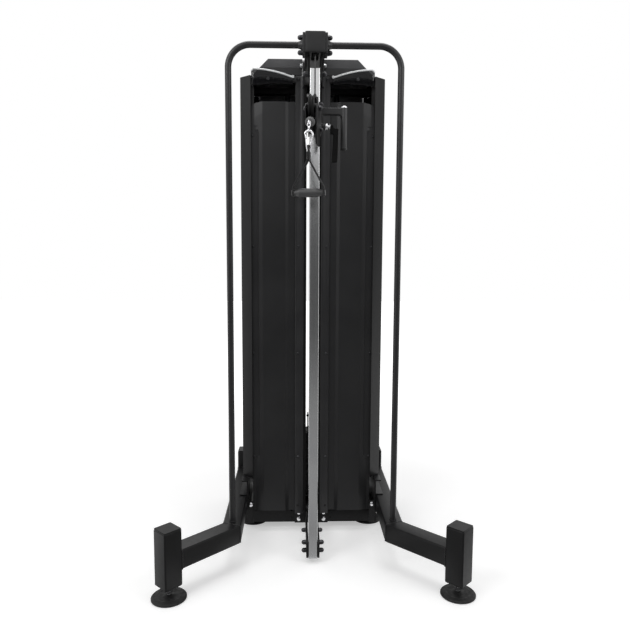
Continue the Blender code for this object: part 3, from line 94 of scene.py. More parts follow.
# %% Place the camera
FOCAL, PICTURE, SENSOR = 608.59, 630, 36.0  # pixels, pixels, millimetres
eye = Vector((-0.0706, -2.7798, 1.3707))
pitch, yaw, roll = radians(5.9764), radians(1.6858), radians(0.2667)
forward = Vector((sin(yaw) * cos(pitch), cos(yaw) * cos(pitch), -sin(pitch)))
level = Vector((cos(yaw), -sin(yaw), 0.0))
above = level.cross(forward)
right = level * cos(roll) + above * sin(roll)
up = above * cos(roll) - level * sin(roll)
camera = linked("camera", bpy.data.cameras.new("camera"))
camera.data.lens = SENSOR * FOCAL / PICTURE
turned_to = Matrix((right, up, -forward)).transposed().to_4x4()
camera.matrix_world = Matrix.Translation(eye) @ turned_to
scene.camera = camera
print("lens", round(camera.data.lens, 2), "mm")

# %% [markdown]
# ## Finishes
# Nearly everything on this machine is black, so its finishes differ by sheen and
# texture rather than by colour. Each one is a Principled shader with noise in object
# coordinates: a broad noise changes colour and roughness a little over a hand's width,
# and a fine one makes the skin of the surface itself.


# %% A Principled material with noise in its colour, its roughness and its skin
class Finish:
    """tint is a noise's scale and detail and two colours, gloss the same with two
    roughnesses, and skin a noise's scale and detail, the bump's distance and strength."""

    def __init__(self, name, colour, roughness, metallic=0.0, specular=0.5, tint=None,
                 gloss=None, skin=None, **sockets):
        self.material = bpy.data.materials.new(name)
        self.material.use_nodes = True
        self.tree = self.material.node_tree
        self.shader = self.tree.nodes["Principled BSDF"]
        self.place = self.tree.nodes.new("ShaderNodeTexCoord").outputs["Object"]
        sockets |= {"Base Color": (*colour, 1.0), "Roughness": roughness, "Metallic": metallic,
                    "Specular IOR Level": specular}
        for socket, value in sockets.items():
            self.shader.inputs[socket].default_value = value
        if tint:
            self.drive("Base Color",
                       self.blend(self.spread(self.noise(*tint[:2]), 0, 1), *tint[2:]))
        if gloss:
            self.drive("Roughness", self.spread(self.noise(*gloss[:2]), *gloss[2:]))
        if skin:
            self.bumpy(self.noise(*skin[:2]), *skin[2:])

    def add(self, kind, links=None, values=None, **settings):
        return put(self.tree, "ShaderNode" + kind, links, values, **settings)

    def noise(self, scale, detail=2.0, rough=0.5, source=None):
        return self.add("TexNoise", {"Vector": source or self.place},
                        {"Scale": scale, "Detail": detail, "Roughness": rough}).outputs["Fac"]

    def spread(self, source, low, high, start=0.3, end=0.7):
        return self.add("MapRange", {"Value": source},
                        {"From Min": start, "From Max": end, "To Min": low, "To Max": high},
                        interpolation_type="SMOOTHSTEP").outputs["Result"]

    def blend(self, share, first, second):
        return self.add("Mix", {0: share}, {6: (*first, 1.0), 7: (*second, 1.0)},
                        data_type="RGBA").outputs[2]

    def times(self, first, second):
        return self.add("Math", {0: first, 1: second}, operation="MULTIPLY").outputs[0]

    def drive(self, socket, source):
        self.tree.links.new(source, self.shader.inputs[socket])

    def bumpy(self, height, distance, strength=1.0):
        bump = self.add("Bump", {"Height": height}, {"Distance": distance, "Strength": strength})
        self.drive("Normal", bump.outputs[0])


def grey(value, blue=None):
    return (value, value, blue or value)


# %% [markdown]
# ** Powder coat.** A baked powder flows out into a satin skin with a faint orange peel,
# about a millimetre from crest to crest. The bows, the uprights and the carriage have a
# coat a little glossier and greyer than that of the legs. The covers and guards are
# smoother and pick up long soft reflections. The hood's matt coat is painted paler than
# the others as painted light from above, and its duller inside coat is painted paler
# still as painted bounce light under it.

# %% Coats
coat = Finish("powder_coat", grey(0.008), 0.42, specular=0.2,
              tint=(7, 2, grey(0.0072, 0.0075), grey(0.0088, 0.0092)),
              gloss=(60, 3, 0.42, 0.46), skin=(900, 1, 0.0001, 0.3))
satin = Finish("satin_coat", grey(0.02, 0.021), 0.36, specular=0.36,
               tint=(6, 2, grey(0.017, 0.018), grey(0.024, 0.025)),
               gloss=(18, 3, 0.33, 0.42), skin=(900, 1, 0.00008, 0.15))
sheet = Finish("coated_sheet", grey(0.018, 0.019), 0.38, specular=0.28,
               tint=(3, 2, grey(0.016, 0.0168), grey(0.0205, 0.0213)),
               gloss=(6, 2, 0.36, 0.41), skin=(500, 1, 0.00003, 0.05))
# Painted light: the hood's coat is much paler than the other coats, for the light from above.
hood_coat = Finish("hood_coat", grey(0.08, 0.083), 0.5, specular=0.25,
                   tint=(11, 4, grey(0.078, 0.081), grey(0.096, 0.099)),
                   skin=(700, 1, 0.00008, 0.25))
# Painted bounce light: the hood's inside coat is paler still, for light bounced up under it.
inside = Finish("thin_coat_inside", grey(0.2, 0.205), 0.8, specular=0.1,
                tint=(9, 3, grey(0.17, 0.175), grey(0.23, 0.235)), gloss=(40, 3, 0.7, 0.9))
print(*(kind.material.name for kind in (coat, satin, sheet, hood_coat, inside)))

# %% [markdown]
# ** Smoked clear sheet.** The bands under the hood let a little of the background
# through. Their cut edges are polished, and the light they catch is painted: a
# near-white finish of their own stands for that glint.

# %% Smoked clear sheet
smoke = Finish("smoked_sheet", grey(0.005, 0.006), 0.1, specular=0.3,
               gloss=(30, 2, 0.08, 0.15), Alpha=0.8, IOR=1.49)
# Painted highlight: a near-white finish that stands for the glint on the bands' edges.
smoke_edge_glint = Finish("smoked_edge", (0.8, 0.81, 0.82), 0.25, gloss=(300, 2, 0.2, 0.4), Alpha=0.95)
print(smoke.material.name, smoke_edge_glint.material.name)

# %% [markdown]
# **Bright steel and chrome.** The rail was drawn lengthwise, so its fine scratches run
# along Z. A Mapping node squeezes the noise: many steps across, few along.

# %% Bright steel, chrome, zinc and blued steel
steel = Finish("drawn_steel", (0.6, 0.61, 0.62), 0.24, 1.0, skin=(300, 1, 0.00001, 0.03),
               tint=(5, 2, (0.56, 0.565, 0.575), (0.62, 0.625, 0.63)))
drawn = steel.add("Mapping", {"Vector": steel.place}, {"Scale": (1400, 1400, 9)}).outputs[0]
steel.drive("Roughness", steel.spread(steel.noise(1.0, 2, 0.5, drawn), 0.2, 0.23))
chrome = Finish("polished_chrome", grey(0.78, 0.8), 0.08, 1.0, gloss=(120, 3, 0.05, 0.13))
zinc = Finish("zinc", (0.34, 0.345, 0.35), 0.3, 1.0, gloss=(200, 3, 0.24, 0.38))
blued = Finish("blued_steel", grey(0.055, 0.058), 0.34, 1.0, gloss=(160, 3, 0.28, 0.42))
print(*(kind.material.name for kind in (steel, chrome, zinc, blued)))

# %% [markdown]
# **Cast iron, rubber, nylon and cable coat.** Castings are coarse, rubber is dull and
# finely grained, moulded nylon lies between the two.

# %% Cast plates, rubber, nylon and cable coat
cast = Finish("cast_plate", grey(0.02, 0.021), 0.6,
              tint=(30, 4, grey(0.014, 0.015), grey(0.028, 0.029)))
cast.bumpy(cast.noise(260, 4, 0.6), 0.0004, 0.5)
rubber = Finish("rubber", grey(0.0085), 0.62, specular=0.3, gloss=(60, 3, 0.52, 0.72),
                skin=(900, 2, 0.00012, 0.4))
nylon = Finish("nylon", grey(0.009, 0.0095), 0.42, specular=0.4, gloss=(40, 2, 0.36, 0.5),
               skin=(600, 2, 0.00005, 0.3))
# Painted shade: darker than the nylon above, for the shade the pulleys sit in.
shaded_nylon = Finish("pulley_nylon", grey(0.006), 0.5, specular=0.2,
                     gloss=(50, 2, 0.44, 0.58), skin=(500, 2, 0.00005, 0.2))
dipped = Finish("dipped_vinyl", grey(0.004), 0.55, specular=0.12, gloss=(70, 3, 0.48, 0.64),
                skin=(700, 2, 0.00006, 0.2))
hand_rubber = Finish("grip_rubber", grey(0.05, 0.051), 0.45, gloss=(60, 3, 0.4, 0.52),
                     skin=(900, 2, 0.0001, 0.35))
vinyl = Finish("cable_vinyl", grey(0.01), 0.3, gloss=(90, 2, 0.25, 0.4))
sewing = Finish("sewing_thread", grey(0.05, 0.052), 0.7, gloss=(2000, 2, 0.6, 0.8))
print(*(kind.material.name for kind in (cast, rubber, nylon, shaded_nylon, dipped, vinyl)))

# %% [markdown]
# **Webbing.** The strap's ribs run across it and its threads along it. Both follow the
# strap's own UV map, in which one unit is a metre, because the strap turns corners.

# %% Webbing
webbing = Finish("woven_strap", grey(0.014, 0.015), 0.85)
cloth = webbing.add("UVMap", uv_map="strap").outputs[0]
ribs, threads = (webbing.add("TexWave", {"Vector": cloth}, {"Scale": scale, "Distortion": 0.0},
                             bands_direction=way).outputs["Fac"]
                 for scale, way in ((130.0, "Y"), (260.0, "X")))
woven = webbing.times(ribs, threads)
webbing.drive("Base Color", webbing.blend(woven, grey(0.008, 0.0085), grey(0.022, 0.023)))
webbing.bumpy(woven, 0.0005, 0.7)
print(webbing.material.name)

# %% Give every CAD node its finish
FINISH_OF = {"black_coat": coat, "dark_sheet": sheet, "smoked": smoke, "bright_steel": steel,
             "chrome": chrome, "cast_black": cast, "black_rubber": rubber,
             "black_nylon": nylon, "cable_coat": vinyl, "webbing": webbing}
for node in frame["nodes"].values():
    for place in node.material_slots:
        place.material = FINISH_OF[place.material.name.split(".")[0]].material
print("finishes on", len(frame["nodes"]), "nodes")

# %% [markdown]
# ## Floor, white surroundings and soft lamps
# The floor has to stay white and still keep a soft shadow. Its diffuse shader catches
# the shadow, and an emission that only the camera, reflections and rays through glass
# see lifts it to white. Near the machine the lift is small, so the shadow shows; far
# away it is full, so the floor runs into the white world with no horizon.


# %% One where the camera, a reflection or glass looks, else zero
def seen_directly(tree):
    rays = put(tree, "ShaderNodeLightPath").outputs
    total = rays["Is Camera Ray"]
    for name in ("Is Glossy Ray", "Is Transmission Ray"):
        total = put(tree, "ShaderNodeMath", {0: total, 1: rays[name]},
                    operation="MAXIMUM").outputs[0]
    return total


# %% The world
scene.world = bpy.data.worlds.new("studio")
scene.world.use_nodes = True
tree = scene.world.node_tree
tree.nodes.clear()
WHITE = (1, 1, 1, 1)
lighting = put(tree, "ShaderNodeBackground", None, {"Color": WHITE, "Strength": 0.4})
shown = put(tree, "ShaderNodeBackground", None, {"Color": WHITE})
mixed = put(tree, "ShaderNodeMixShader",
            {0: seen_directly(tree), 1: lighting.outputs[0], 2: shown.outputs[0]})
put(tree, "ShaderNodeOutputWorld", {0: mixed.outputs[0]})
print("world:", len(tree.nodes), "shader steps")

# %% The floor
REACH = 14  # metres from the middle to the floor's edge
floor = linked("floor", mesh_of("floor", [(-REACH, -REACH, 0), (REACH, -REACH, 0),
                                          (REACH, REACH, 0), (-REACH, REACH, 0)],
                                faces=[(0, 1, 2, 3)]))
pale = Finish("pale_floor", grey(0.8), 0.9, specular=0.0, **{"Emission Color": WHITE})
away = pale.add("VectorMath", {0: pale.place}, operation="LENGTH").outputs["Value"]
lift = pale.spread(away, 0.42, 1.0, start=0.9, end=3.2)
pale.drive("Emission Strength", pale.times(lift, seen_directly(pale.tree)))
floor.data.materials.append(pale.material)
print("floor:", floor.dimensions.x, "m wide")

# %% [markdown]
# A bright steel rail shows what stands in front of it. In the photograph its middle is
# dark, because it mirrors the dark side of the room behind the photographer. A curved
# card does that here: only reflections see it, and an attribute on its rows holds how
# bright each row is. It reaches further to the right, where the room was dark too.

# %% The card behind the camera: each row's y, z and brightness
ROWS = ((-0.27, 0.004, 0.45), (-0.6, 0.004, 0.29), (-0.62, 0.004, 0.38), (-1.0, 0.004, 0.39),
        (-1.5, 0.004, 0.37), (-2.6, 0.004, 0.32), (-3.8, 0.004, 0.27), (-4.6, 0.02, 0.2),
        (-5.0, 0.3, 0.112), (-5.0, 1.1, 0.084), (-5.0, 1.8, 0.1), (-5.0, 2.2, 0.2),
        (-5.0, 2.6, 0.7))
NARROW, WIDE, NARROW_TO = (-0.3, 0.3), (-4.0, 9.0), -0.61
corners = [(x, y, z) for y, z, _ in ROWS for x in (NARROW if y > NARROW_TO else WIDE)]
strips = [(2 * i, 2 * i + 1, 2 * i + 3, 2 * i + 2) for i in range(len(ROWS) - 1)]
card = linked("card", mesh_of("card", corners, faces=strips))
shade = card.data.attributes.new("shade", "FLOAT", "POINT")
shade.data.foreach_set("value", [light for _, _, light in ROWS for _ in range(2)])
dim = bpy.data.materials.new("dark_card")
dim.use_nodes = True
dim.node_tree.nodes.clear()
reading = put(dim.node_tree, "ShaderNodeAttribute", attribute_name="shade").outputs["Fac"]
glow = put(dim.node_tree, "ShaderNodeEmission", {"Strength": reading}).outputs[0]
put(dim.node_tree, "ShaderNodeOutputMaterial", {"Surface": glow})
card.data.materials.append(dim)
for kind in ("camera", "diffuse", "transmission", "volume_scatter", "shadow"):
    setattr(card, "visible_" + kind, False)
print("card:", len(ROWS), "rows")

# %% The lamps: name, place, what each looks at, width in metres, power in watts
for name, place, aim, width, power in (("key", (-2.4, -2.4, 3.6), (0, 0.1, 1.1), 1.6, 46),
                                       ("fill", (2.8, -2.0, 3.0), (0, 0.1, 1.0), 1.6, 24),
                                       ("top", (0.0, 0.3, 4.4), (0, 0.1, 0), 2.4, 62)):
    light = bpy.data.lights.new(name, "AREA")
    light.size, light.energy = width, power
    lamp = linked(name, light)
    lamp.location = place
    lamp.rotation_euler = (Vector(aim) - Vector(place)).to_track_quat("-Z", "Y").to_euler()
print("three lamps")

# %% [markdown]
# ## Helpers
# A modifier's result is turned into a plain mesh at once, so that what stays in the
# scene is what gets exported. Lengths are metres; mm() turns lists of millimetres into
# metres where a section or an outline is easier to read that way.


# %% Millimetres into metres
def mm(sizes):
    return [mm(size) for size in sizes] if isinstance(sizes, (list, tuple)) else sizes / 1000


# %% Turn a modified object into a plain finished mesh
def settled(thing):
    bpy.context.view_layer.update()
    graph = bpy.context.evaluated_depsgraph_get()
    made = bpy.data.meshes.new_from_object(thing.evaluated_get(graph),
                                           preserve_all_data_layers=True, depsgraph=graph)
    thing.modifiers.clear()
    thing.data = made
    made.name = thing.name
    return thing


def bevelled(thing, width, segments=2, angle=35):
    step = thing.modifiers.new("bevel", "BEVEL")
    step.width, step.segments, step.limit_method = width, segments, "ANGLE"
    step.angle_limit = radians(angle)
    step.harden_normals = True
    return settled(thing)


def cut(thing, tool, operation="DIFFERENCE", use_self=False):
    """Takes the tool out of the thing, or keeps what both share, and removes the tool."""
    step = thing.modifiers.new("cut", "BOOLEAN")
    step.operation, step.object, step.solver = operation, tool, "EXACT"
    step.use_self = use_self
    settled(thing)
    bpy.data.objects.remove(tool)
    return thing


# %% Make an object of a bmesh, of a line of points, or of other objects
def piece_of(name, shape, finish, smooth=35):
    """An object at the origin with its place in its mesh, smooth below an angle."""
    bmesh.ops.recalc_face_normals(shape, faces=shape.faces)
    mesh = bpy.data.meshes.new(name)
    shape.to_mesh(mesh)
    shape.free()
    mesh.materials.append(finish.material)
    mesh.shade_smooth()
    mesh.set_sharp_from_angle(angle=radians(smooth))
    return linked(name, mesh)


def line_of(name, points, closed=False):
    count = len(points)
    edges = [(i, (i + 1) % count) for i in range(count if closed else count - 1)]
    return linked(name, mesh_of(name, points, edges))


def joined(name, things):
    """One piece out of several with their materials kept."""
    bpy.ops.object.select_all(action="DESELECT")
    for thing in things:
        thing.select_set(True)
    bpy.context.view_layer.objects.active = things[0]
    bpy.ops.object.join()
    things[0].name = things[0].data.name = name
    return things[0]


def settle_on(piece, *nodes):
    """The piece rides where the first node rides, and stands for all of them."""
    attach(piece, body_of[nodes[0]])
    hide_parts(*nodes)
    return piece


# %% [markdown]
# Most solids here are a flat outline carried along an axis, or an outline spun about
# one. Rounding the outline's corners before that gives the soft edges for free.


# %% Outlines
def at(axis, u, v, w):
    """A point w along the axis and u, v across it: X takes (y, z), Y (x, z), Z (x, y)."""
    return {"X": (w, u, v), "Y": (u, w, v), "Z": (u, v, w)}[axis]


def filleted(points, radius, steps=4, closed=True):
    """Rounds the corners of a flat line. radius is one number, or one for each corner."""
    made = []
    for i, point in enumerate(points):
        r = radius[i] if isinstance(radius, (list, tuple)) else radius
        here, before = Vector(point), Vector(points[i - 1])
        after = Vector(points[(i + 1) % len(points)])
        a, b = before - here, after - here
        if r <= 0 or (not closed and i in (0, len(points) - 1)) or a.angle(b) > radians(176):
            made.append(tuple(point))
            continue
        half = a.angle(b) / 2
        reach = min(r / tan(half), a.length * 0.49, b.length * 0.49)
        centre = here + (a.normalized() + b.normalized()).normalized() * (reach / cos(half))
        start = here + a.normalized() * reach - centre
        end = here + b.normalized() * reach - centre
        first = atan2(start.y, start.x)
        turn = atan2(start.x * end.y - start.y * end.x, start.dot(end))
        made += [(centre.x + start.length * cos(first + turn * k / steps),
                  centre.y + start.length * sin(first + turn * k / steps))
                 for k in range(steps + 1)]
    return made


def ring(radius, sides, u=0.0, v=0.0):
    return [(u + radius * cos(2 * pi * i / sides), v + radius * sin(2 * pi * i / sides))
            for i in range(sides)]


def hoop(axis, w, radius, sides, u, v):
    """A ring in space, w along the axis."""
    return [at(axis, a, b, w) for a, b in ring(radius, sides, u, v)]


def rectangle(half_u, half_v, u=0.0, v=0.0):
    return [(u - half_u, v - half_v), (u + half_u, v - half_v),
            (u + half_u, v + half_v), (u - half_u, v + half_v)]


def flipped(points, side):
    return list(points) if side > 0 else [(-u, v) for u, v in reversed(points)]


# %% Prisms, plates and turned pieces
def skinned(shape, loops, closed=False):
    """Faces between neighbouring loops, and over both ends unless the row is closed."""
    for near, far in zip(loops, loops[1:] + (loops[:1] if closed else [])):
        for i in range(len(near)):
            j = (i + 1) % len(near)
            shape.faces.new((near[i], near[j], far[j], far[i]))
    if not closed:
        shape.faces.new(loops[0])
        shape.faces.new(loops[-1])


def solid(name, prisms, finish, smooth=35, moved=None):
    """One object of prisms, each an outline, an axis and two places along it."""
    shape = bmesh.new()
    for outline, axis, low, high in prisms:
        skinned(shape, [[shape.verts.new(at(axis, u, v, w)) for u, v in outline]
                        for w in sorted((low, high))])
    if moved:
        bmesh.ops.transform(shape, matrix=moved, verts=shape.verts)
    return piece_of(name, shape, finish, smooth)


def plate(name, outline, axis, low, high, finish, edge=0.0006, segments=2, moved=None):
    flat = solid(name, [(outline, axis, low, high)], finish, moved=moved)
    return bevelled(flat, edge, segments, 40)


def tube_prism(name, outer, inner, axis, low, high, finish):
    """A hollow bar: both outlines have the same number of points."""
    shape = bmesh.new()
    ends = ((outer, low), (outer, high), (inner, high), (inner, low))
    skinned(shape, [[shape.verts.new(at(axis, u, v, w)) for u, v in line] for line, w in ends],
            closed=True)
    return piece_of(name, shape, finish, 40)


def spun(shape, profile, axis, u, v, sides=48, closed=False):
    """(radius, distance along the axis) points spun about an axis through u, v."""
    rings = []
    for radius, w in profile:
        spots = [(u, v)] if radius == 0 else ring(radius, sides, u, v)
        rings.append([shape.verts.new(at(axis, a, b, w)) for a, b in spots])
    for near, far in zip(rings, rings[1:] + (rings[:1] if closed else [])):
        for i in range(sides):
            j = (i + 1) % sides
            corners = (near[i % len(near)], near[j % len(near)],
                       far[j % len(far)], far[i % len(far)])
            shape.faces.new(list(dict.fromkeys(corners)))


def turned(name, profile, axis, u, v, finish, sides=48, closed=False, moved=None, smooth=35,
           soft=None):
    """A spun piece. soft is the radius that rounds its section, and the steps of each arc."""
    shape = bmesh.new()
    profile = filleted(profile, *soft, closed=closed) if soft else profile
    spun(shape, profile, axis, u, v, sides, closed)
    if moved:
        bmesh.ops.transform(shape, matrix=moved, verts=shape.verts)
    return piece_of(name, shape, finish, smooth)


# %% [markdown]
# A CAD solid has knife edges, and no real sheet or casting has them: every edge is
# rounded a little, and that round catches a line of light. A copy of the node is merged,
# its flat triangles are dissolved into whole faces, and a small bevel does the rest.


# %% A copy of a CAD node with softened edges
def softened(node, width, finish=None):
    source = frame["nodes"][node]
    shape = bmesh.new()
    shape.from_mesh(source.data)
    bmesh.ops.remove_doubles(shape, verts=shape.verts, dist=0.00002)
    bmesh.ops.dissolve_limit(shape, angle_limit=radians(1), verts=shape.verts, edges=shape.edges)
    mesh = bpy.data.meshes.new(node + "_soft")
    shape.to_mesh(mesh)
    shape.free()
    mesh.materials.append(finish.material if finish else source.material_slots[0].material)
    mesh.shade_smooth()
    return settle_on(bevelled(linked(node + "_soft", mesh), width, 2, 28), node)


# %% [markdown]
# ## Trees for what repeats
# Four small Geometry Nodes trees are used again and again: a round bar along a line, a
# weld bead along a line, fasteners at points and a coiled thread. Each one has named
# inputs, and ends in Realize Instances and Set Material, because an exported model
# keeps no instances.


# %% Build and run geometry trees
class Tree:
    def __init__(self, name, **sockets):
        self.group = bpy.data.node_groups.new(name, "GeometryNodeTree")
        face = self.group.interface
        for way in ("INPUT", "OUTPUT"):
            face.new_socket("Geometry", in_out=way, socket_type="NodeSocketGeometry")
        for label, value in sockets.items():
            kind = {float: "Float", int: "Int", str: "Object"}[type(value)]
            made = face.new_socket(label, in_out="INPUT", socket_type="NodeSocket" + kind)
            if kind != "Object":
                made.default_value = value
        face.new_socket("Material", in_out="INPUT", socket_type="NodeSocketMaterial")
        self.inputs = self.group.nodes.new("NodeGroupInput").outputs
        self.end = self.group.nodes.new("NodeGroupOutput").inputs[0]

    def add(self, kind, links=None, values=None, **settings):
        return put(self.group, kind, links, values, **settings)

    def geo(self, kind, links=None, values=None, **settings):
        """Adds a geometry node and hands on its first output."""
        return self.add("GeometryNode" + kind, links, values, **settings).outputs[0]

    def finish(self, geometry, realize=True):
        if realize:
            geometry = self.geo("RealizeInstances", {"Geometry": geometry})
        smooth = self.geo("SetShadeSmooth", {"Geometry": geometry})
        self.group.links.new(self.geo("SetMaterial", {"Geometry": smooth,
                                                      "Material": self.inputs[
                                                          "Material"]}), self.end)
        print(self.group.name, len(self.group.nodes), "nodes")

    def run(self, thing, smooth=35, **values):
        """Puts the tree on an object with these inputs, and makes the result its mesh."""
        step = thing.modifiers.new(self.group.name, "NODES")
        step.node_group = self.group
        for item in self.group.interface.items_tree:
            if item.in_out == "INPUT" and item.name in values:
                value = values[item.name]
                step[item.identifier] = value.material if isinstance(value, Finish) else value
        settled(thing)
        thing.data.set_sharp_from_angle(angle=radians(smooth))
        return thing


# %% Round bar along a line
bar = Tree("bar along a line", Radius=0.01, Sides=24)
line = bar.geo("MeshToCurve", {"Mesh": bar.inputs["Geometry"]})
section = bar.geo("CurvePrimitiveCircle",
                  {"Radius": bar.inputs["Radius"], "Resolution": bar.inputs["Sides"]})
bar.finish(bar.geo("CurveToMesh", {"Curve": line, "Profile Curve": section}, {"Fill Caps": True}))

# %% Beads along a line: ripples of a weld, or stitches where they are drawn out
weld = Tree("beads along a line", Size=0.0025, Pitch=0.0022, Long=1.0, Seed=1)
line = weld.geo("MeshToCurve", {"Mesh": weld.inputs["Geometry"]})
spots = weld.geo("ResampleCurve", {"Curve": line, "Length": weld.inputs["Pitch"]}, mode="LENGTH")
ball = weld.geo("MeshUVSphere", {"Radius": weld.inputs["Size"]}, {"Segments": 8, "Rings": 5})
facing = weld.add("FunctionNodeAlignEulerToVector", {"Vector": weld.geo("InputTangent")},
                  axis="Z").outputs[0]
vary = weld.add("FunctionNodeRandomValue", {"Seed": weld.inputs["Seed"]}, {2: 0.86, 3: 1.1},
                data_type="FLOAT").outputs[1]
drawn_out = weld.add("ShaderNodeMath", {0: vary, 1: weld.inputs["Long"]},
                     operation="MULTIPLY").outputs[0]
scale = weld.add("ShaderNodeCombineXYZ", {"X": vary, "Y": vary, "Z": drawn_out}).outputs[0]
weld.finish(weld.geo("InstanceOnPoints", {"Points": spots, "Instance": ball,
                                          "Rotation": facing, "Scale": scale}))

# %% Fasteners at points: each point holds the way its fastener faces and how far it is turned
fastener = Tree("fasteners at points", Pattern="")
pattern = fastener.add("GeometryNodeObjectInfo", {"Object": fastener.inputs["Pattern"]},
                       {"As Instance": True}).outputs["Geometry"]
facing = fastener.geo("InputNamedAttribute", None, {"Name": "facing"}, data_type="FLOAT_VECTOR")
spin = fastener.geo("InputNamedAttribute", None, {"Name": "turn"}, data_type="FLOAT")
own = fastener.add("FunctionNodeAxisAngleToRotation", {"Angle": spin}, {"Axis": (0, 0, 1)})
aimed = fastener.add("FunctionNodeAlignRotationToVector", {"Vector": facing}, axis="Z")
both = fastener.add("FunctionNodeRotateRotation",
                    {"Rotation": aimed.outputs[0], "Rotate By": own.outputs[0]},
                    rotation_space="LOCAL").outputs[0]
points = fastener.geo("MeshToPoints", {"Mesh": fastener.inputs["Geometry"]})
fastener.finish(fastener.geo("InstanceOnPoints", {"Points": points, "Instance": pattern,
                                                  "Rotation": both}))


def fasteners(name, kind, finish, spots, body="frame"):
    """spots are (place, facing, turn)."""
    holder = linked(name, mesh_of(name, [place for place, _, _ in spots]))
    facing = holder.data.attributes.new("facing", "FLOAT_VECTOR", "POINT")
    facing.data.foreach_set("vector", [n for _, way, _ in spots for n in way])
    turn = holder.data.attributes.new("turn", "FLOAT", "POINT")
    turn.data.foreach_set("value", [angle for _, _, angle in spots])
    fastener.run(holder, Pattern=pattern_of[kind], Material=finish)
    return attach(holder, body)


# %% Coiled thread
thread = Tree("coiled thread", Radius=0.008, Height=0.03, Pitch=0.0018, Ridge=0.0006)
radius, height = thread.inputs["Radius"], thread.inputs["Height"]
turns = thread.add("ShaderNodeMath", {0: height, 1: thread.inputs["Pitch"]},
                   operation="DIVIDE").outputs[0]
coil = thread.geo("CurveSpiral", {"Rotations": turns, "Start Radius": radius,
                                  "End Radius": radius, "Height": height}, {"Resolution": 20})
ridge = thread.geo("CurvePrimitiveCircle", {"Radius": thread.inputs["Ridge"]}, {"Resolution": 5})
thread.finish(thread.geo("CurveToMesh", {"Curve": coil, "Profile Curve": ridge},
                         {"Fill Caps": True}))

# %% [markdown]
# ## The legs and their feet
# Each leg is one welded frame of 80 mm tube. Its CAD solid is right, so it only gets
# softer edges. On top of it go what the solid leaves out: the weld beads round the
# joints, and the flat coated plugs that close the open tube ends.

# %% Legs
LEG_TOP, LEG_LOW, POST_TOP = 0.1995, 0.1195, 0.288
SIDE_X, POST_X, POST_Y, BEND_Y = 0.3514, 0.577, 0.481, -0.2554
HALF = 0.04  # of the 80 mm tube


def weld_bead(name, points, size, body="frame", closed=True, seed=1):
    # The beads take the satin coat: glossier than the legs' coat, and paler as a painted highlight
    # along each weld.
    bead = weld.run(line_of(name, points, closed), Size=size, Pitch=size * 0.95, Long=0.75,
                    Seed=seed, Material=satin)
    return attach(bead, body)


for letter, side in SIDES:
    leg = softened("leg_frame_" + letter, 0.0016)
    for place, x, y, turn, face in (("front", POST_X, -POST_Y, pi / 4, HALF),
                                    ("rear", SIDE_X, POST_Y, 0.0, -HALF)):
        post = Matrix.Translation((side * x, y, 0))
        cap = filleted(rectangle(HALF - 0.0012, HALF - 0.0012), 0.005, 5)
        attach(plate(f"post_cap_{place}_{letter}", cap, "Z", POST_TOP - 0.004, POST_TOP + 0.0026,
                      coat, 0.0022, 3, post @ Matrix.Rotation(turn, 4, "Z")), "frame")
        seam = rectangle(HALF + 0.0004, HALF + 0.0004, 0, (LEG_TOP + LEG_LOW) / 2)
        across = post @ Matrix.Rotation(side * turn, 4, "Z")
        weld_bead(f"weld_{place}_{letter}", [across @ Vector((u, face, v))
                                             for u, v in filleted(seam, 0.005, 4)], 0.0024, seed=3)
    reach, bend = HALF * tan(radians(22.5)), []
    for out in (-1, 1):
        edge = [(side * (SIDE_X + out * (HALF + 0.0002)), BEND_Y + out * reach, z)
                for z in (LEG_LOW + 0.005, LEG_TOP - 0.004)]
        edge.append((side * (SIDE_X + out * (HALF - 0.004)), BEND_Y + out * reach * 0.9, LEG_TOP))
        bend += edge[::-out]
    weld_bead("weld_bend_" + letter, bend, 0.0018, closed=False, seed=5)
    print(leg.name, len(leg.data.polygons), "faces")

# %% [markdown]
# A levelling foot is a moulded disc on a threaded rod with a lock nut. The disc is
# spun from its section, the nut is a hexagon cut by a spun cone on both sides, and the
# thread is a coil from the tree above. All of it turns with the foot.


# %% Levelling feet
def rod(radius, low, high):
    """The section of a plain round rod."""
    return [(0, low), (radius, low), (radius, high), (0, high)]


def hex_nut(name, flats, low, high, finish, moved=Matrix.Identity(4)):
    """A hexagon whose corners are turned off at both ends."""
    corner = flats / sqrt(3)
    face, rise = flats / 2 * 0.97, (corner - flats / 2) * 0.55
    nut = turned(name, [(0, low), (face, low), (corner, low + rise), (corner, high - rise),
                        (face, high), (0, high)], "Z", 0, 0, finish, 36, smooth=30)
    block = solid(name + "_block", [(ring(corner, 6), "Z", low - 0.01, high + 0.01)], finish, 30)
    cut(nut, block, "INTERSECT")
    nut.data.transform(moved)
    nut.data.set_sharp_from_angle(angle=radians(30))
    return nut


DISC = mm([(0, 0), (66, 0), (70.5, 2.2), (70.5, 7.5), (66, 12), (48, 12.8), (44, 11.8), (26, 12.2),
           (18.5, 14.5), (11.2, 17.8), (0, 17.8)])
DISC_ROUNDS = mm([0, 0, 1.8, 2, 2.5, 1.2, 1.2, 2, 3, 1, 0])


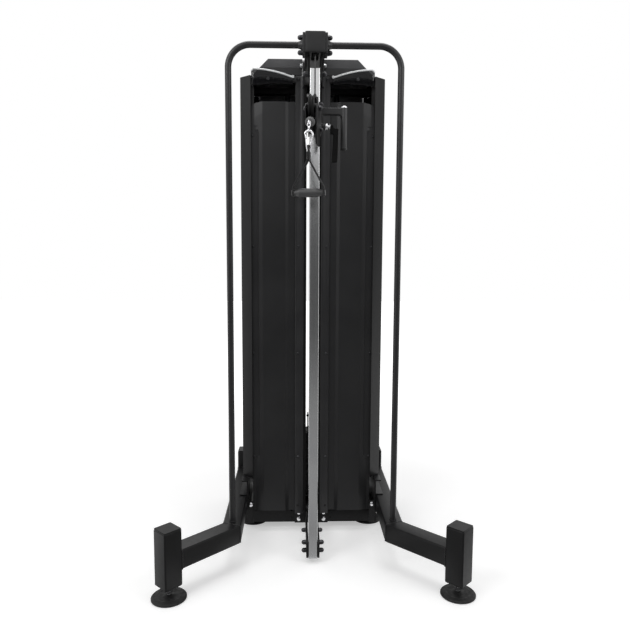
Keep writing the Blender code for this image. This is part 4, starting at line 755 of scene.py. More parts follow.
def levelling_foot(node, x, y, top):
    where = Matrix.Translation((x, y, 0))
    parts = [turned(node + "_disc", DISC, "Z", 0, 0, rubber, 64, moved=where,
                    soft=(DISC_ROUNDS, 3)),
             turned(node + "_rod", rod(0.0074, 0.015, top - 0.0003), "Z", 0, 0, zinc, 24,
                    moved=where)]
    if top > 0.04:  # the tower's feet sit too close under it to show a nut
        parts.append(hex_nut(node + "_nut", 0.0302, 0.0262, 0.0408, chrome, where))
        coil = thread.run(line_of(node + "_thread", [(0, 0, 0)]), Radius=0.0075,
                          Height=top - 0.0345, Pitch=0.0018, Ridge=0.00055, Material=zinc)
        coil.data.transform(Matrix.Translation((x, y, 0.0185)))
        parts.append(coil)
    return settle_on(joined(node + "_fine", parts), node)


for letter, side in SIDES:
    levelling_foot("foot_front_" + letter, side * POST_X, -POST_Y, 0.0535)
    levelling_foot("foot_rear_" + letter, side * SIDE_X, POST_Y, 0.0535)
    levelling_foot("foot_tower_" + letter, side * 0.29, 0.228, 0.0325)
print("six feet")

# %% [markdown]
# ## Patterns for the fasteners
# Three kinds of fastener are repeated all over the frame: domed cap nuts, flange bolts
# and low button heads with a socket. Each is made once, and the tree puts it wherever
# it is needed.


# %% Fastener patterns
def cap_nut(name, radius, length, finish=chrome):
    """Hexagon with a domed cap that hides the bolt's end."""
    base = hex_nut(name + "_hex", radius * 2.02, 0.0008, length * 0.46, finish)
    dome = [(0, length * 0.3), (radius * 1.02, length * 0.4), (radius * 1.02, length * 0.55)]
    dome += [(radius * 1.02 * cos(a), length * (0.55 + 0.47 * sin(a)))
             for a in (pi / 2 * k / 8 for k in range(1, 8))]
    cap = turned(name + "_cap", dome + [(0, length * 1.02)], "Z", 0, 0, finish, 28)
    washer = turned(name + "_washer", rod(radius * 1.3, -0.001, 0.0012), "Z", 0, 0, finish, 32,
                    soft=(0.0003, 2))
    return joined(name, [base, cap, washer])


def flange_bolt(name, radius, length, finish=chrome):
    head = hex_nut(name + "_hex", radius * 1.78, length * 0.15, length * 1.05, finish)
    section = [(0, -0.001), (radius * 1.12, -0.001), (radius * 1.12, length * 0.18),
               (radius * 0.85, length * 0.38), (0, length * 0.38)]
    flange = turned(name + "_flange", section, "Z", 0, 0, finish, 32, soft=(0.0004, 2))
    return joined(name, [head, flange])


def button_head(name, radius, length, finish=zinc):
    shares = [(0, 0.35), (0.4, 0.35), (0.42, 1.04), (0.62, 1.04), (0.92, 0.62), (1.05, 0.3)]
    section = [(radius * r, length * w) for r, w in shares] + [(radius * 1.05, -0.001), (0, -0.001)]
    return turned(name, section, "Z", 0, 0, finish, 28, smooth=40)


pattern_of = {kind: make("pattern_" + kind, radius, length) for kind, make, radius, length in (
    ("large", cap_nut, 0.0097, 0.0203), ("axle", cap_nut, 0.0087, 0.0143),
    ("small", cap_nut, 0.0074, 0.0123), ("ear", cap_nut, 0.0087, 0.0133),
    ("flange", flange_bolt, 0.0086, 0.0073), ("button", button_head, 0.0067, 0.0042),
    ("tab", button_head, 0.0052, 0.0032), ("shield", button_head, 0.0072, 0.0043))}
print(len(pattern_of), "patterns")

# %% [markdown]
# ## The tower's frame
# Base, brackets and side frames are welded tube and bent plate under powder coat. The
# CAD solids keep their shapes. The bolt heads are put on with the fastener tree, each
# one just large enough to cover the plain head in the solid below it.

# %% Tower frame
TOWER_FRONT, TOWER_REAR, TOWER_TOP = 0.086, 0.486, 2.164
ROWS_OF_BOLTS = (0.379, 0.8857, 1.3923, 1.899)
AHEAD, BACK = (0, -1, 0), (0, 1, 0)
for node, width, finish in (("base_frame", 0.0015, None), ("base_bracket_l", 0.0009, None),
                            ("base_bracket_r", 0.0009, None), ("rod_bridge", 0.0012, satin),
                            ("side_frame_l", 0.0011, satin), ("side_frame_r", 0.0011, satin)):
    softened(node, width, finish)
for letter, side in SIDES:
    fasteners("upright_bolts_" + letter, "button", blued,
              [((side * 0.0665, TOWER_FRONT, z), AHEAD, 0.3 * z)
               for z in (TOWER_TOP - 0.016, *ROWS_OF_BOLTS[:3])])
    fasteners("ear_nut_" + letter, "ear", zinc,
              [((side * 0.0485, 0.072, 2.203), (side, 0, 0), 0.3)])
    fasteners("bracket_bolt_" + letter, "flange", chrome,
              [((side * 0.2925, 0.05, 0.155), AHEAD, 0.2)])
    fasteners("small_screws_" + letter, "tab", rubber,
              [((side * x, y, z), AHEAD, 0.0) for x, y, z in ((0.0665, 0.0862, 0.133),
                                                              (0.0975, 0.1262, 0.0515),
                                                              (0.0975, 0.1262, 0.0875))])
print("tower frame done")

# %% [markdown]
# A black rubber edge strip runs down the inner side of both front uprights, in a narrow
# band darker than anything beside it: the strip is painted shade, standing for the deep
# shade in the slot there. It is an extruded angle: one leg is glued to the tube, the
# other stands into the slot and ends in a round lip.
# A shallow folded tray between the base tubes keeps the light out from below: a painted
# shade, a black sheet over the floor under the tower where a shadow would lie.

# %% Edge strips and tray
angle = mm([(40.3, 87.6), (40.3, 108), (38.5, 108), (38.5, 91), (31.8, 90.6), (30.5, 92.2),
            (28.3, 91.6), (28, 89.2), (29.6, 87.6)])
angle = filleted(angle, mm([0.8, 0.6, 0.6, 1.2, 0.6, 1, 1, 1, 1]), 3)
# Painted shade: a near-black strip in the slot beside each upright.
for letter, side in SIDES:
    strip = plate("edge_strip_" + letter, flipped(angle, side), "Z", 0.106, 2.12, dipped, 0.0004)
    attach(strip, "frame")
# Painted shade: a black tray over the floor under the tower.
tray = filleted(mm([(170, 15), (442, 15), (442, 32.2), (440.4, 32.2), (440.4, 16.6), (171.6, 16.6),
                    (171.6, 32.2), (170, 32.2)]), 0.0004, 2)
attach(plate("base_tray", tray, "X", -0.17, 0.17, coat, 0.0003), "frame")
print("edge strips:", len(strip.data.polygons), "faces each")

# %% [markdown]
# ## The covers
# A guard is one sheet with a margin, a raised main face, a slant down to the outer
# edge, and a shallow pocket pressed round its bolts. All of that is a depth for each
# place on the sheet, so the mesh is a grid whose points are pushed back by that depth.
# Solidify then gives it the thickness of the sheet.

# %% Guards
GUARD_LOW, GUARD_HIGH, GUARD_IN, GUARD_OUT = 0.108, 2.05, 0.0808, 0.2844
PLAN = mm([(80.8, 8), (111.5, 8), (127.5, 0.5), (231, 0.5), (269, 10), (284.4, 10)])
UPPER_EDGE = mm([(80.8, 0), (231, 0), (261, -5), (278.7, -13), (284.4, -15.5)])
POCKET_X, POCKET_LOW, POCKET_TOP, POCKET_DEPTH = 0.25, 0.36, 1.942, 0.0102
BEND = 0.0016  # a pressed sheet bends over a small radius: the plan is averaged over it
BOLT_X = 0.2775


def along(points, x):
    """Height of a bent line at x."""
    for (a, low), (b, high) in zip(points, points[1:]):
        if x <= b:
            return low + (high - low) * max(0.0, (x - a) / (b - a))
    return points[-1][1]


def eased(value, low, high):
    share = min(1.0, max(0.0, (value - low) / (high - low)))
    return share * share * (3 - 2 * share)


def guard_depth(x, z):
    plan = sum(along(PLAN, x + BEND * k / 2) for k in (-2, -1, 0, 1, 2)) / 5
    across = max(0.0, x - POCKET_X) / (GUARD_OUT - POCKET_X)
    curve = 0.03 * (1 - min(1.0, across * 2.4)) ** 2
    top, low = POCKET_TOP - curve, POCKET_LOW + curve
    within = (eased(x, POCKET_X - 0.001, POCKET_X + 0.002)
              * (1 - eased(z, top - 0.0015, top + 0.0015)) * eased(z, low - 0.0015, low + 0.0015))
    plan += (POCKET_DEPTH - plan) * within
    fold = z - (1.997 - 0.495 * (x - 0.2345))
    return plan + max(0.0, fold) * 0.045 * eased(x, 0.15, 0.236)


xs = {round(GUARD_IN + (GUARD_OUT - GUARD_IN) * i / 26, 5) for i in range(27)}
xs |= {0.1095, 0.1115, 0.1135, 0.1255, 0.1275, 0.1295, 0.229, 0.231, 0.233, 0.248, 0.249,
       0.25, 0.251, 0.252, 0.253, 0.267, 0.269}
zs = {round(GUARD_LOW + (GUARD_HIGH - GUARD_LOW) * i / 30, 4) for i in range(31)}
zs |= {round(1.9 + 0.002 * i, 4) for i in range(75)}
zs |= {round(0.352 + 0.0015 * i, 4) for i in range(36)}
for letter, side in SIDES:
    points = [(side * x, TOWER_FRONT + guard_depth(x, z),
               z + along(UPPER_EDGE, x) * eased(z, 1.99, GUARD_HIGH))
              for z in sorted(zs) for x in sorted(xs)]
    wide, faces = len(xs), []
    for start in range(0, len(points) - wide, wide):
        for i in range(start, start + wide - 1):
            corners = (i, i + 1, i + 1 + wide, i + wide)
            faces.append(corners if side > 0 else corners[::-1])
    guard = linked("front_guard_fine_" + letter, mesh_of("guard", points, faces=faces))
    guard.data.materials.append(sheet.material)
    guard.data.shade_smooth()
    wall = guard.modifiers.new("wall", "SOLIDIFY")
    wall.thickness, wall.offset, wall.use_even_offset = 0.0028, -1.0, True
    bevelled(guard, 0.0008, 2, 60)
    settle_on(guard, "front_guard_" + letter)
    for name, y, way in (("", None, AHEAD), ("rear_", TOWER_REAR - 0.01, BACK)):
        spots = [((side * BOLT_X, y or TOWER_FRONT + guard_depth(BOLT_X, z), z), way, z)
                 for z in ROWS_OF_BOLTS]
        fasteners(f"guard_{name}bolts_{letter}", "tab", blued, spots)
    print(guard.name, len(guard.data.polygons), "faces", [round(n, 3) for n in guard.dimensions])
for node, width, finish in (("side_cover_l", 0.0007, coat), ("side_cover_r", 0.0007, coat),
                            ("rear_guard_l", 0.0008, sheet), ("rear_guard_r", 0.0008, sheet)):
    softened(node, width, finish)

# %% [markdown]
# The hood's inner faces are told from its outer ones by their direction: what looks down
# or inwards from inside the folded shape gets the duller, paler finish of painted bounce
# light. Plates close what the folded sheets leave open: a rear plate between rear guard
# and hood, an apron under the hood's front lip, and a lid on each side cover.

# %% Hood and the plates round it
HOOD_MIDDLE_Y = 0.28
hood = softened("hood", 0.0009, hood_coat)
# Faces that look down or inwards take the paler inside coat: painted bounce light.
hood.data.materials.append(inside.material)
for face in hood.data.polygons:
    inward = face.normal.y * (HOOD_MIDDLE_Y - face.center.y) > 0 and abs(face.normal.y) > 0.5
    if face.normal.z < -0.3 or inward:
        face.material_index = 1
rear = filleted(mm([(81.5, 2046), (256, 2046), (270, 2030), (284.2, 2030), (284.2, 2164),
                    (274, 2164), (274, 2137.5), (81.5, 2137.5)]), 0.003, 3)
apron = filleted(mm([(49.5, 2166), (271.5, 2166), (271.5, 2169), (239.5, 2199.2), (49.5, 2199.2)]),
                 0.001, 2)
lid = filleted(mm([(269, 100), (284.8, 100), (284.8, 87.8), (334.5, 133), (334.5, 439),
                   (284.8, 484.2), (284.8, 472), (269, 472)]), 0.001, 2)
for letter, side in SIDES:
    for name, outline, axis, low, high, finish in (
            ("rear_upper_plate_", rear, "Y", 0.479, 0.4815, sheet),
            ("hood_apron_", apron, "Y", 0.0868, 0.0888, satin),
            ("side_cover_lid_", lid, "Z", 2.1644, 2.1662, coat)):
        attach(plate(name + letter, flipped(outline, side), axis, low, high, finish, 0.0005),
                "frame")
print(hood.name, len(hood.data.polygons), "faces")

# %% [markdown]
# The bands under the hood are clear sheet, tinted dark and bent round a curve. Along
# their upper edge runs a bright near-white bead, a painted glint, which ends in a small
# round stud of the same painted finish. Each band is a row of sections along the curve.

# %% Smoked bands with a bright bead painted as the glint on their upper edge
SHIELD_LOW, SHIELD_IN, SHIELD_OUT = 2.122, 0.0915, 0.2815
THICK, ROUND = 0.003, 0.0008


def shield_at(share):
    """x, y, lower and upper edge of the band at a share of its length."""
    drop = 0.012 * max(0.0, (share - 0.93) / 0.07) ** 2
    return (SHIELD_IN + (SHIELD_OUT - SHIELD_IN) * share, 0.07 + 0.024 * (1 - cos(share * pi / 3)),
            SHIELD_LOW + 0.007 * sin(share * pi) - 0.006 * share + drop * 0.6,
            SHIELD_LOW + 0.033 + 0.039 * (1 - (1 - share) ** 1.8) - drop)


for letter, side in SIDES:
    shape = bmesh.new()
    rows = []
    for x, y, low, high in (shield_at(i / 40) for i in range(41)):
        section = [(0, low + ROUND), (0, high - ROUND), (ROUND, high), (THICK - ROUND, high),
                   (THICK, high - ROUND), (THICK, low + ROUND), (THICK - ROUND, low), (ROUND, low)]
        rows.append([shape.verts.new((side * x, y + dy, z)) for dy, z in section])
    skinned(shape, rows)
    settle_on(piece_of("smoked_band_" + letter, shape, smoke, 50), "top_shield_" + letter)
    # Painted highlight: the bright bead and stud below stand for the glint on the upper edge.
    path = [(side * x, y + 0.0015, high - 0.0018)
            for x, y, _, high in (shield_at(0.995 * i / 32) for i in range(33))]
    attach(bar.run(line_of("band_bead_" + letter, path), Radius=0.0042, Sides=12,
                    Material=smoke_edge_glint), "frame")
    section = mm([(0, 67.5), (6.2, 67.5), (6.8, 73), (0, 73)])
    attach(turned("band_stud_" + letter, section, "Y", side * SHIELD_IN, SHIELD_LOW + 0.0335,
                   smoke_edge_glint, 24, soft=(0.0012, 3)), "frame")
    bolt_y = shield_at((0.204 - SHIELD_IN) / (SHIELD_OUT - SHIELD_IN))[1]
    fasteners("band_bolt_" + letter, "shield", blued,
              [((side * 0.204, bolt_y, SHIELD_LOW + 0.0255), AHEAD, 0.4)])
print("two bands")

# %% [markdown]
# ## Head beam, bows and rail
# The head beam is closed in front by a soft square plug. Square rings that shrink
# towards the front give it the pillow shape that a moulded plug has.

# %% Head beam and its plug
MIDDLE_Z = 2.238 - HALF
CHEEK, RAIL_MID = 0.0293, -0.198
softened("head_beam", 0.001)
shape = bmesh.new()
rings = []
for half, y in mm([(34, -258), (34, -267.6), (39.7, -267.7), (40, -268.4), (40, -270),
                   (39.3, -271.2), (37, -271.8), (30, -272.45), (20, -272.9), (8, -273.1)]):
    outline = filleted(rectangle(half, half, 0, MIDDLE_Z), min(0.006, half * 0.3), 6)
    rings.append([shape.verts.new((u, y, v)) for u, v in outline])
skinned(shape, rings)
settle_on(piece_of("beam_plug", shape, nylon, 40), "beam_cap")
fasteners("cheek_nuts", "large", blued,
          [((side * CHEEK, RAIL_MID, 2.092), (side, 0, 0), 0.2) for side in (-1, 1)])
fasteners("crown_axle_heads", "shield", zinc,
          [((side * HALF, y, 2.186), (side, 0, 0), 0.1)
           for side in (-1, 1) for y in (0.206, 0.366)])
print("head beam")

# %% [markdown]
# Each bow is one round tube, so its path is drawn as a line with rounded corners and
# the bar tree gives it its thickness. At the top it flares into a weld on its end plate,
# and at the foot it stands in a ring of weld on the leg.

# %% Bows
BOW_Y, BOW_PLATE = -0.222, (0.0403, 0.0503)
FLARE = mm([(20.5, 50), (20, 53.5), (17.2, 57.2), (15, 62), (13.7, 68), (12.8, 69), (12.8, 50)])
bend = filleted([(SIDE_X, LEG_TOP + 0.0003), (SIDE_X, MIDDLE_Z), (0.05, MIDDLE_Z)], 0.09, 22,
                closed=False)
for letter, side in SIDES:
    tube = bar.run(line_of("bow_tube_" + letter, [(side * x, BOW_Y, z) for x, z in bend]),
                   Radius=0.01325, Sides=36, Material=satin)
    flange = plate("bow_plate_" + letter,
                   filleted(rectangle(HALF, HALF, BOW_Y, MIDDLE_Z), 0.006, 5),
                   "X", *(side * x for x in BOW_PLATE), satin, 0.0012, 3)
    root = turned("bow_root_" + letter, [(r, side * x) for r, x in FLARE], "X", BOW_Y, MIDDLE_Z,
                  satin, 36, closed=True, smooth=50)
    settle_on(joined("bow_fine_" + letter, [tube, flange, root]), "bow_" + letter)
    weld_bead("weld_bow_foot_" + letter,
              hoop("Z", LEG_TOP + 0.0008, 0.0138, 40, side * SIDE_X, BOW_Y), 0.0024, seed=7)
    weld_bead("weld_bow_plate_" + letter, hoop("X", side * 0.0508, 0.0203, 44, BOW_Y, MIDDLE_Z),
              0.002, seed=8)
    fasteners("bow_nuts_" + letter, "large", blued,
              [((side * BOW_PLATE[1], BOW_Y, z), (side, 0, 0), 0.25) for z in (2.1685, 2.2275)])
print("two bows")

# %% [markdown]
# The rail is drawn square tube, so its corners are round inside and outside. Its row of
# round holes is a line of 22 points: a tree puts a short cylinder on each, and one
# exact difference takes them all out of the wall.

# %% Rail
HOLE_TOP, HOLE_PITCH, HOLES = 1.958, 0.075, 22
rail = tube_prism("rail_fine", filleted(rectangle(0.0204, 0.03, 0, RAIL_MID), 0.0036, 5),
                  filleted(rectangle(0.0174, 0.027, 0, RAIL_MID), 0.0018, 5),
                  "Z", 0.0244, 2.108, steel)
row = Tree("row of holes", Radius=0.006, Depth=0.01, Cutters="")
places = row.add("GeometryNodeObjectInfo", {"Object": row.inputs["Cutters"]}).outputs["Geometry"]
drill = row.geo("MeshCylinder", {"Radius": row.inputs["Radius"], "Depth": row.inputs["Depth"]},
                {"Vertices": 24})
many = row.geo("InstanceOnPoints", {"Points": places, "Instance": drill},
               {"Rotation": (0, pi / 2, 0)})
bored = row.add("GeometryNodeMeshBoolean", {"Mesh 1": row.inputs["Geometry"],
                                            "Mesh 2": row.geo("RealizeInstances",
                                                              {"Geometry": many})},
                operation="DIFFERENCE", solver="EXACT")
row.finish(bored.outputs["Mesh"], realize=False)
holes = line_of("pin_holes", [(0.019, RAIL_MID, HOLE_TOP - HOLE_PITCH * i) for i in range(HOLES)])
row.run(rail, Radius=0.0063, Depth=0.01, Cutters=holes, Material=steel)
bpy.data.objects.remove(holes)
settle_on(bevelled(rail, 0.0005, 2, 50), "rail")
print(rail.name, len(rail.data.polygons), "faces")

# %% Rail foot
softened("rail_foot_bracket", 0.0008)
fasteners("rail_foot_nuts", "large", blued,
          [((side * CHEEK, y, z), (side, 0, 0), 0.3 * z) for side in (-1, 1)
           for y, z in ((RAIL_MID, 0.0863), (RAIL_MID, 0.0495), (-0.036, 0.066))])
fasteners("flange_bolts", "flange", chrome,
          [((side * 0.061, 0.1197, z), AHEAD, z) for side in (-1, 1) for z in (0.0838, 0.05)])
print("rail foot")

# %% [markdown]
# ## Pulleys and cables
# A pulley is a section spun round its axle: a V groove with a round floor, a thin web
# and a thick hub. A steel bearing ring is pressed into the hub.

# %% Pulleys
FORK = Matrix.Translation((0, -0.25, 0)) @ Matrix.Rotation(-radians(11), 4, "Z")
UPPER_Z, LOWER_Z, FORK_Z, FORK_Y = 2.186, 0.064, 1.934, -0.05
HEAD_Y, CROWN_Y, REAR_Y, FRONT_Y, STACK_Y, FLOAT_Z = -0.21, 0.206, 0.366, -0.1155, 0.286, 0.5294
GROOVE = 0.04  # radius of the cable's middle line, and 0.050 in the fork


def pulley(node, y, z, groove=GROOVE, rim=0.0455, width=0.022, moved=None):
    half, floor, bore = width / 2, groove - 0.0029, 0.0066
    one_side = [(bore + 0.004, half - 0.0004), (0.0165, half - 0.0004), (0.0185, 0.0052),
                (floor - 0.0085, 0.0052), (floor - 0.006, half - 0.0026),
                (rim - 0.0004, half - 0.0026), (rim, half - 0.0046), (floor, 0.0018)]
    rounds = mm([0.6, 1.6, 1.6, 2, 1.6, 0.8, 0.8, 1.2])
    # The wheel takes the darker pulley nylon: painted shade.
    wheel = turned(node + "_wheel", one_side + [(r, -w) for r, w in reversed(one_side)], "X", y, z,
                   shaded_nylon, 56, closed=True, moved=moved, smooth=50,
                   soft=(rounds + rounds[::-1], 3))
    section = [(bore, half), (bore + 0.0042, half), (bore + 0.0042, -half), (bore, -half)]
    race = turned(node + "_race", section, "X", y, z, zinc, 36, closed=True, moved=moved,
                  soft=(0.0005, 2))
    return settle_on(joined(node + "_fine", [wheel, race]), node)


for node, y, z in (("head_pulley", HEAD_Y, UPPER_Z), ("crown_pulley_front", CROWN_Y, UPPER_Z),
                   ("crown_pulley_rear", REAR_Y, UPPER_Z), ("base_pulley_rear", REAR_Y, LOWER_Z),
                   ("base_pulley_front", FRONT_Y, LOWER_Z), ("stack_pulley", STACK_Y, FLOAT_Z)):
    print(pulley(node, y, z).name)
pulley("fork_pulley", FORK_Y, FORK_Z, 0.05, 0.056, 0.028, FORK)

# %% [markdown]
# Every run of cable is held tight between two pulleys, so it is a straight bar, and
# only its turns round the pulleys are arcs. A run whose one end rises and falls has
# points at its ends alone, and is put on no body.


# %% Cables
def turn_round(y, z, first, last, steps=16, radius=GROOVE):
    angles = (radians(first + (last - first) * i / steps) for i in range(steps + 1))
    return [(0, y + radius * cos(angle), z + radius * sin(angle)) for angle in angles]


def cable(node, points, moved=Matrix.Identity(4)):
    run = bar.run(line_of(node + "_fine", [moved @ Vector(point) for point in points]),
                  Radius=0.0025, Sides=16, Material=vinyl)
    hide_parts(node)
    return run


for node, top, bottom, y, moving in (
        ("cable_front", UPPER_Z - 0.0003, 1.9343, HEAD_Y - GROOVE, "carriage"),
        ("cable_lower", LOWER_Z + 0.0003, 1.8477, FRONT_Y - GROOVE, "carriage"),
        ("cable_stack_front", UPPER_Z - 0.0003, FLOAT_Z + 0.0003, STACK_Y - GROOVE, "lifted"),
        ("cable_stack_rear", UPPER_Z - 0.0003, FLOAT_Z + 0.0003, STACK_Y + GROOVE, "lifted")):
    start, end = (0, y, top), (0, y, bottom)
    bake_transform(cable(node, [start, end]))
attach(cable("cable_beam", turn_round(HEAD_Y, UPPER_Z, 180, 90)
              + turn_round(CROWN_Y, UPPER_Z, 90, 0)), "frame")
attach(cable("cable_back", turn_round(REAR_Y, UPPER_Z, 180, 0, 30)
              + turn_round(REAR_Y, LOWER_Z, 0, -90)
              + turn_round(FRONT_Y, LOWER_Z, -90, -180)), "frame")
LEAVE = 89  # degrees round the fork's pulley: the cable leaves it almost at its lowest point
over = turn_round(FORK_Y, FORK_Z, 0, -LEAVE, 12, 0.05)
last = (0, -0.0955, 1.868 + 0.0195 * 0.22)
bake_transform(cable("cable_handle", over + [last], FORK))
print("seven runs of cable")

# %% [markdown]
# ## Weight stack
# The plates are castings with chamfered edges. Each plate carries a plain round
# pin hole in front. The rods they slide on are ground steel, given a dark blued finish
# as painted shade for the dark inside of the tower that they mirror.

# %% Weight stack
for node, width in (("rest_plates", 0.0008), ("lifted_plates", 0.0008), ("top_plate", 0.0015),
                    ("pulley_block", 0.001), ("selector_stem", 0.0005)):
    softened(node, width)
pin = mm([(0, 296), (3.6, 295.5), (4.5, 294), (4.5, 225.8), (8.5, 225.6), (8.8, 220.5),
          (6.4, 216.5), (7.5, 211), (13.2, 208), (13.9, 204), (13.9, 199), (12.8, 192.5),
          (9, 189.9), (0, 189.2)])
settle_on(turned("selector_pin_fine", pin, "Y", 0, 0.3226, chrome, 36, smooth=40), "selector_pin")
# Painted shade: the polished guide rods get the dark blued finish.
for letter, _ in SIDES:
    softened("guide_rod_" + letter, 0.001, blued)
print("stack")

# %% [markdown]
# ## Carriage
# The carriage is a welded block: a sleeve round the rail, a mount for the fork in
# front, a square arm to the right with an upright grip at its end, and the barrel of
# the locking plunger. Its parts are made one by one and joined, with weld beads where
# they meet.

# %% Carriage
PIN_Z, GRIP_X = 1.883, 0.1214
low, high, back, front, web = 1.8477, 1.9823, -0.2312, -0.2625, -0.2346
mount = [(back, low - 0.006), (back, high + 0.006), (front, high + 0.006), (front, high),
         (web, high), (web, low), (front, low), (front, low - 0.006)]
mount = filleted(mount, mm([0, 0, 3, 1.2, 2, 2, 1.2, 3]), 3)
ARM = mm([(24.6, 1930), (98.9, 1930), (105.9, 1927.5), (109.2, 1921.5), (115.4, 1921.5),
          (115.4, 1957), (24.6, 1957)])
COLLAR = mm([(6.1, 44.2), (14, 44.2), (14, 54), (6.1, 54)])
GRIP = mm([(0, 1793.5), (12.2, 1793.5), (12.5, 1796), (12.5, 1960.5), (0, 1960.5)])
GRIP_TOP = mm([(0, 1959), (12.7, 1959), (12.9, 1961.2), (11.8, 1963.8), (9.2, 1965.6), (5, 1966.8),
               (0, 1967.1)])
GRIP_LOW = mm([(0, 1787), (6, 1787.2), (10.5, 1788.4), (13.4, 1791.5), (13.5, 1797), (12.7, 1798.5),
               (0, 1798.5)])
sleeve = tube_prism("sleeve", filleted(rectangle(0.0266, 0.0362, 0, RAIL_MID), 0.0045, 5),
                    filleted(rectangle(0.0216, 0.0312, 0, RAIL_MID), 0.002, 5),
                    "Z", 1.848, 1.958, satin)
anchor = filleted(rectangle(0.007, 0.009, 0, -0.1562), 0.002, 3)
carriage = joined("carriage_fine", [
    bevelled(sleeve, 0.0007, 2, 50),
    plate("mount", mount, "X", -0.0125, 0.0125, satin, 0.0008),
    *(turned("stud", rod(0.0065, a, b), "Z", 0, -0.25, zinc, 28)
      for a, b in ((high + 0.001, high - 0.006), (low - 0.001, low + 0.006))),
    plate("rope_anchor", anchor, "Z", 1.8482, 1.868, coat, 0.0012),
    plate("arm", ARM, "Y", RAIL_MID - 0.0125, RAIL_MID + 0.0125, satin, 0.0028, 3),
    turned("barrel", rod(0.0125, 0.0246, 0.0442), "X", RAIL_MID, PIN_Z, satin, 40,
           soft=(0.0006, 2)),
    turned("collar", COLLAR, "X", RAIL_MID, PIN_Z, chrome, 40, closed=True, soft=(0.001, 3)),
    turned("grip_tube", GRIP, "Z", GRIP_X, RAIL_MID, satin, 44, soft=(0.0006, 2)),
    turned("grip_top", GRIP_TOP, "Z", GRIP_X, RAIL_MID, chrome, 36, smooth=50),
    turned("grip_low", GRIP_LOW, "Z", GRIP_X, RAIL_MID, nylon, 36, smooth=50)])
settle_on(carriage, "carriage")
seam = filleted(rectangle(0.0127, 0.0137, RAIL_MID, 1.9435), 0.003, 3)
weld_bead("weld_arm_sleeve", [(0.027, u, v) for u, v in seam], 0.0019, "carriage", seed=11)
weld_bead("weld_barrel", hoop("X", 0.027, 0.013, 30, RAIL_MID, PIN_Z), 0.0018, "carriage", seed=12)
for name, x in (("front", -0.0128), ("rear", 0.0128)):
    weld_bead("weld_mount_" + name, [(x, -0.2345, z) for z in (low - 0.004, high + 0.004)], 0.0018,
              "carriage", closed=False, seed=13)
print(carriage.name, len(carriage.data.polygons), "faces")

# %% [markdown]
# The plunger is pulled by a flat lever that hangs beside the grip, so that one hand
# can squeeze both. The lever's outline is rounded first, then given its thickness.

# %% Plunger and squeeze lever
pin = mm([(0, 20.8), (4, 20.8), (5.5, 22.2), (5.5, 62), (10, 62.2), (10.5, 63), (10.5, 64.5),
          (9.8, 65), (0, 65)])
settle_on(turned("plunger_pin_fine", pin, "X", RAIL_MID, PIN_Z, chrome, 36), "plunger_pin")
lever = mm([(65.3, 1853), (65.3, 1889), (76, 1889), (80, 1876), (96, 1876), (98.5, 1871),
            (95.5, 1738.5), (71.7, 1738.5), (78, 1853)])
lever = filleted(lever, mm([3, 4, 4, 4, 3, 3, 4, 4, 6]), 4)
blade = plate("lever_fine", lever, "Y", RAIL_MID - 0.009, RAIL_MID + 0.009, dipped, 0.003, 3)
settle_on(blade, "squeeze_lever")
print(blade.name, len(blade.data.polygons), "faces")

# %% [markdown]
# ## Fork
# Two side plates hold the pulley, and a narrow tongue behind them turns on the
# carriage's studs. Everything is drawn as if the fork pointed straight ahead, and one
# matrix then turns it to where it hangs in the photograph.


# %% Fork
def hung(piece, node):
    """Turns a piece that was drawn straight ahead to where it hangs, and puts it there."""
    piece.data.transform(FORK)
    return settle_on(piece, node)


TOP = mm([(-100, 1933), (-88, 1945), (-34, 1945), (-24, 1965), (-6, 1965)])
LEFT = mm([(-6, 1847), (-30, 1843), (-88, 1843), (-100, 1855)])
RIGHT = mm([(-6, 1847), (-22, 1797), (-30, 1787), (-92, 1787), (-100, 1795)])
TONGUE = mm([(11.2, 1848), (11.2, 1982), (-11.2, 1982), (-11.2, 1976), (6.7, 1976), (6.7, 1854),
             (-24, 1854), (-24, 1848)])
parts = []
for side, edge in ((-1, LEFT), (1, RIGHT)):
    rounds = [0.0015] + [0.008] * (len(edge) + 1) + [0.01, 0.005, 0.0015]
    parts.append(plate("fork_side", filleted(edge + TOP, rounds, 4), "X", side * 0.0195,
                       side * 0.0245, coat, 0.0009, 3))
tongue = plate("tongue", filleted(TONGUE, mm([3, 3, 1.5, 0, 3, 3, 0, 0]), 3),
               "X", -0.01, 0.01, coat)
bores = [(ring(0.007, 28), "Z", z, z + 0.016) for z in (1.97, 1.842)]
parts.append(cut(tongue, solid("drill", bores, coat)))
fork = hung(joined("fork_fine", parts), "fork")
for letter, side in SIDES:
    facing = FORK.to_3x3() @ Vector((side, 0, 0))
    for name, kind, spots in (("axle_nut_", "axle", ((FORK_Y, FORK_Z, 0.2),)),
                              ("nuts_", "small", ((-0.0165, 1.955, 1.955 * 9),
                                                  (-0.0165, 1.856, 1.856 * 9)))):
        fasteners(f"fork_{name}{letter}", kind, blued,
                  [(FORK @ Vector((side * 0.0245, y, z)), facing, turn) for y, z, turn in spots],
                  "fork")
print(fork.name, len(fork.data.polygons), "faces")

# %% [markdown]
# ## Ball, hook and handle
# The rubber ball stops the cable at the fork. A ferrule and an eye of bent wire come
# out of it and carry a swivel: an eye, a barrel and a ring. The pear-shaped snap hook
# hangs in the ring, and its gate turns on a small rivet.


# %% Ball with its eye
BALL_Y, BALL_Z, BALL_R, HOOK_Y, EYE_Z = -0.1153, 1.868, 0.0195, -0.1433, 1.8609


def wire_loop(name, points, radius=0.0016):
    return bar.run(line_of(name, points, True), Radius=radius, Sides=12, Material=chrome)


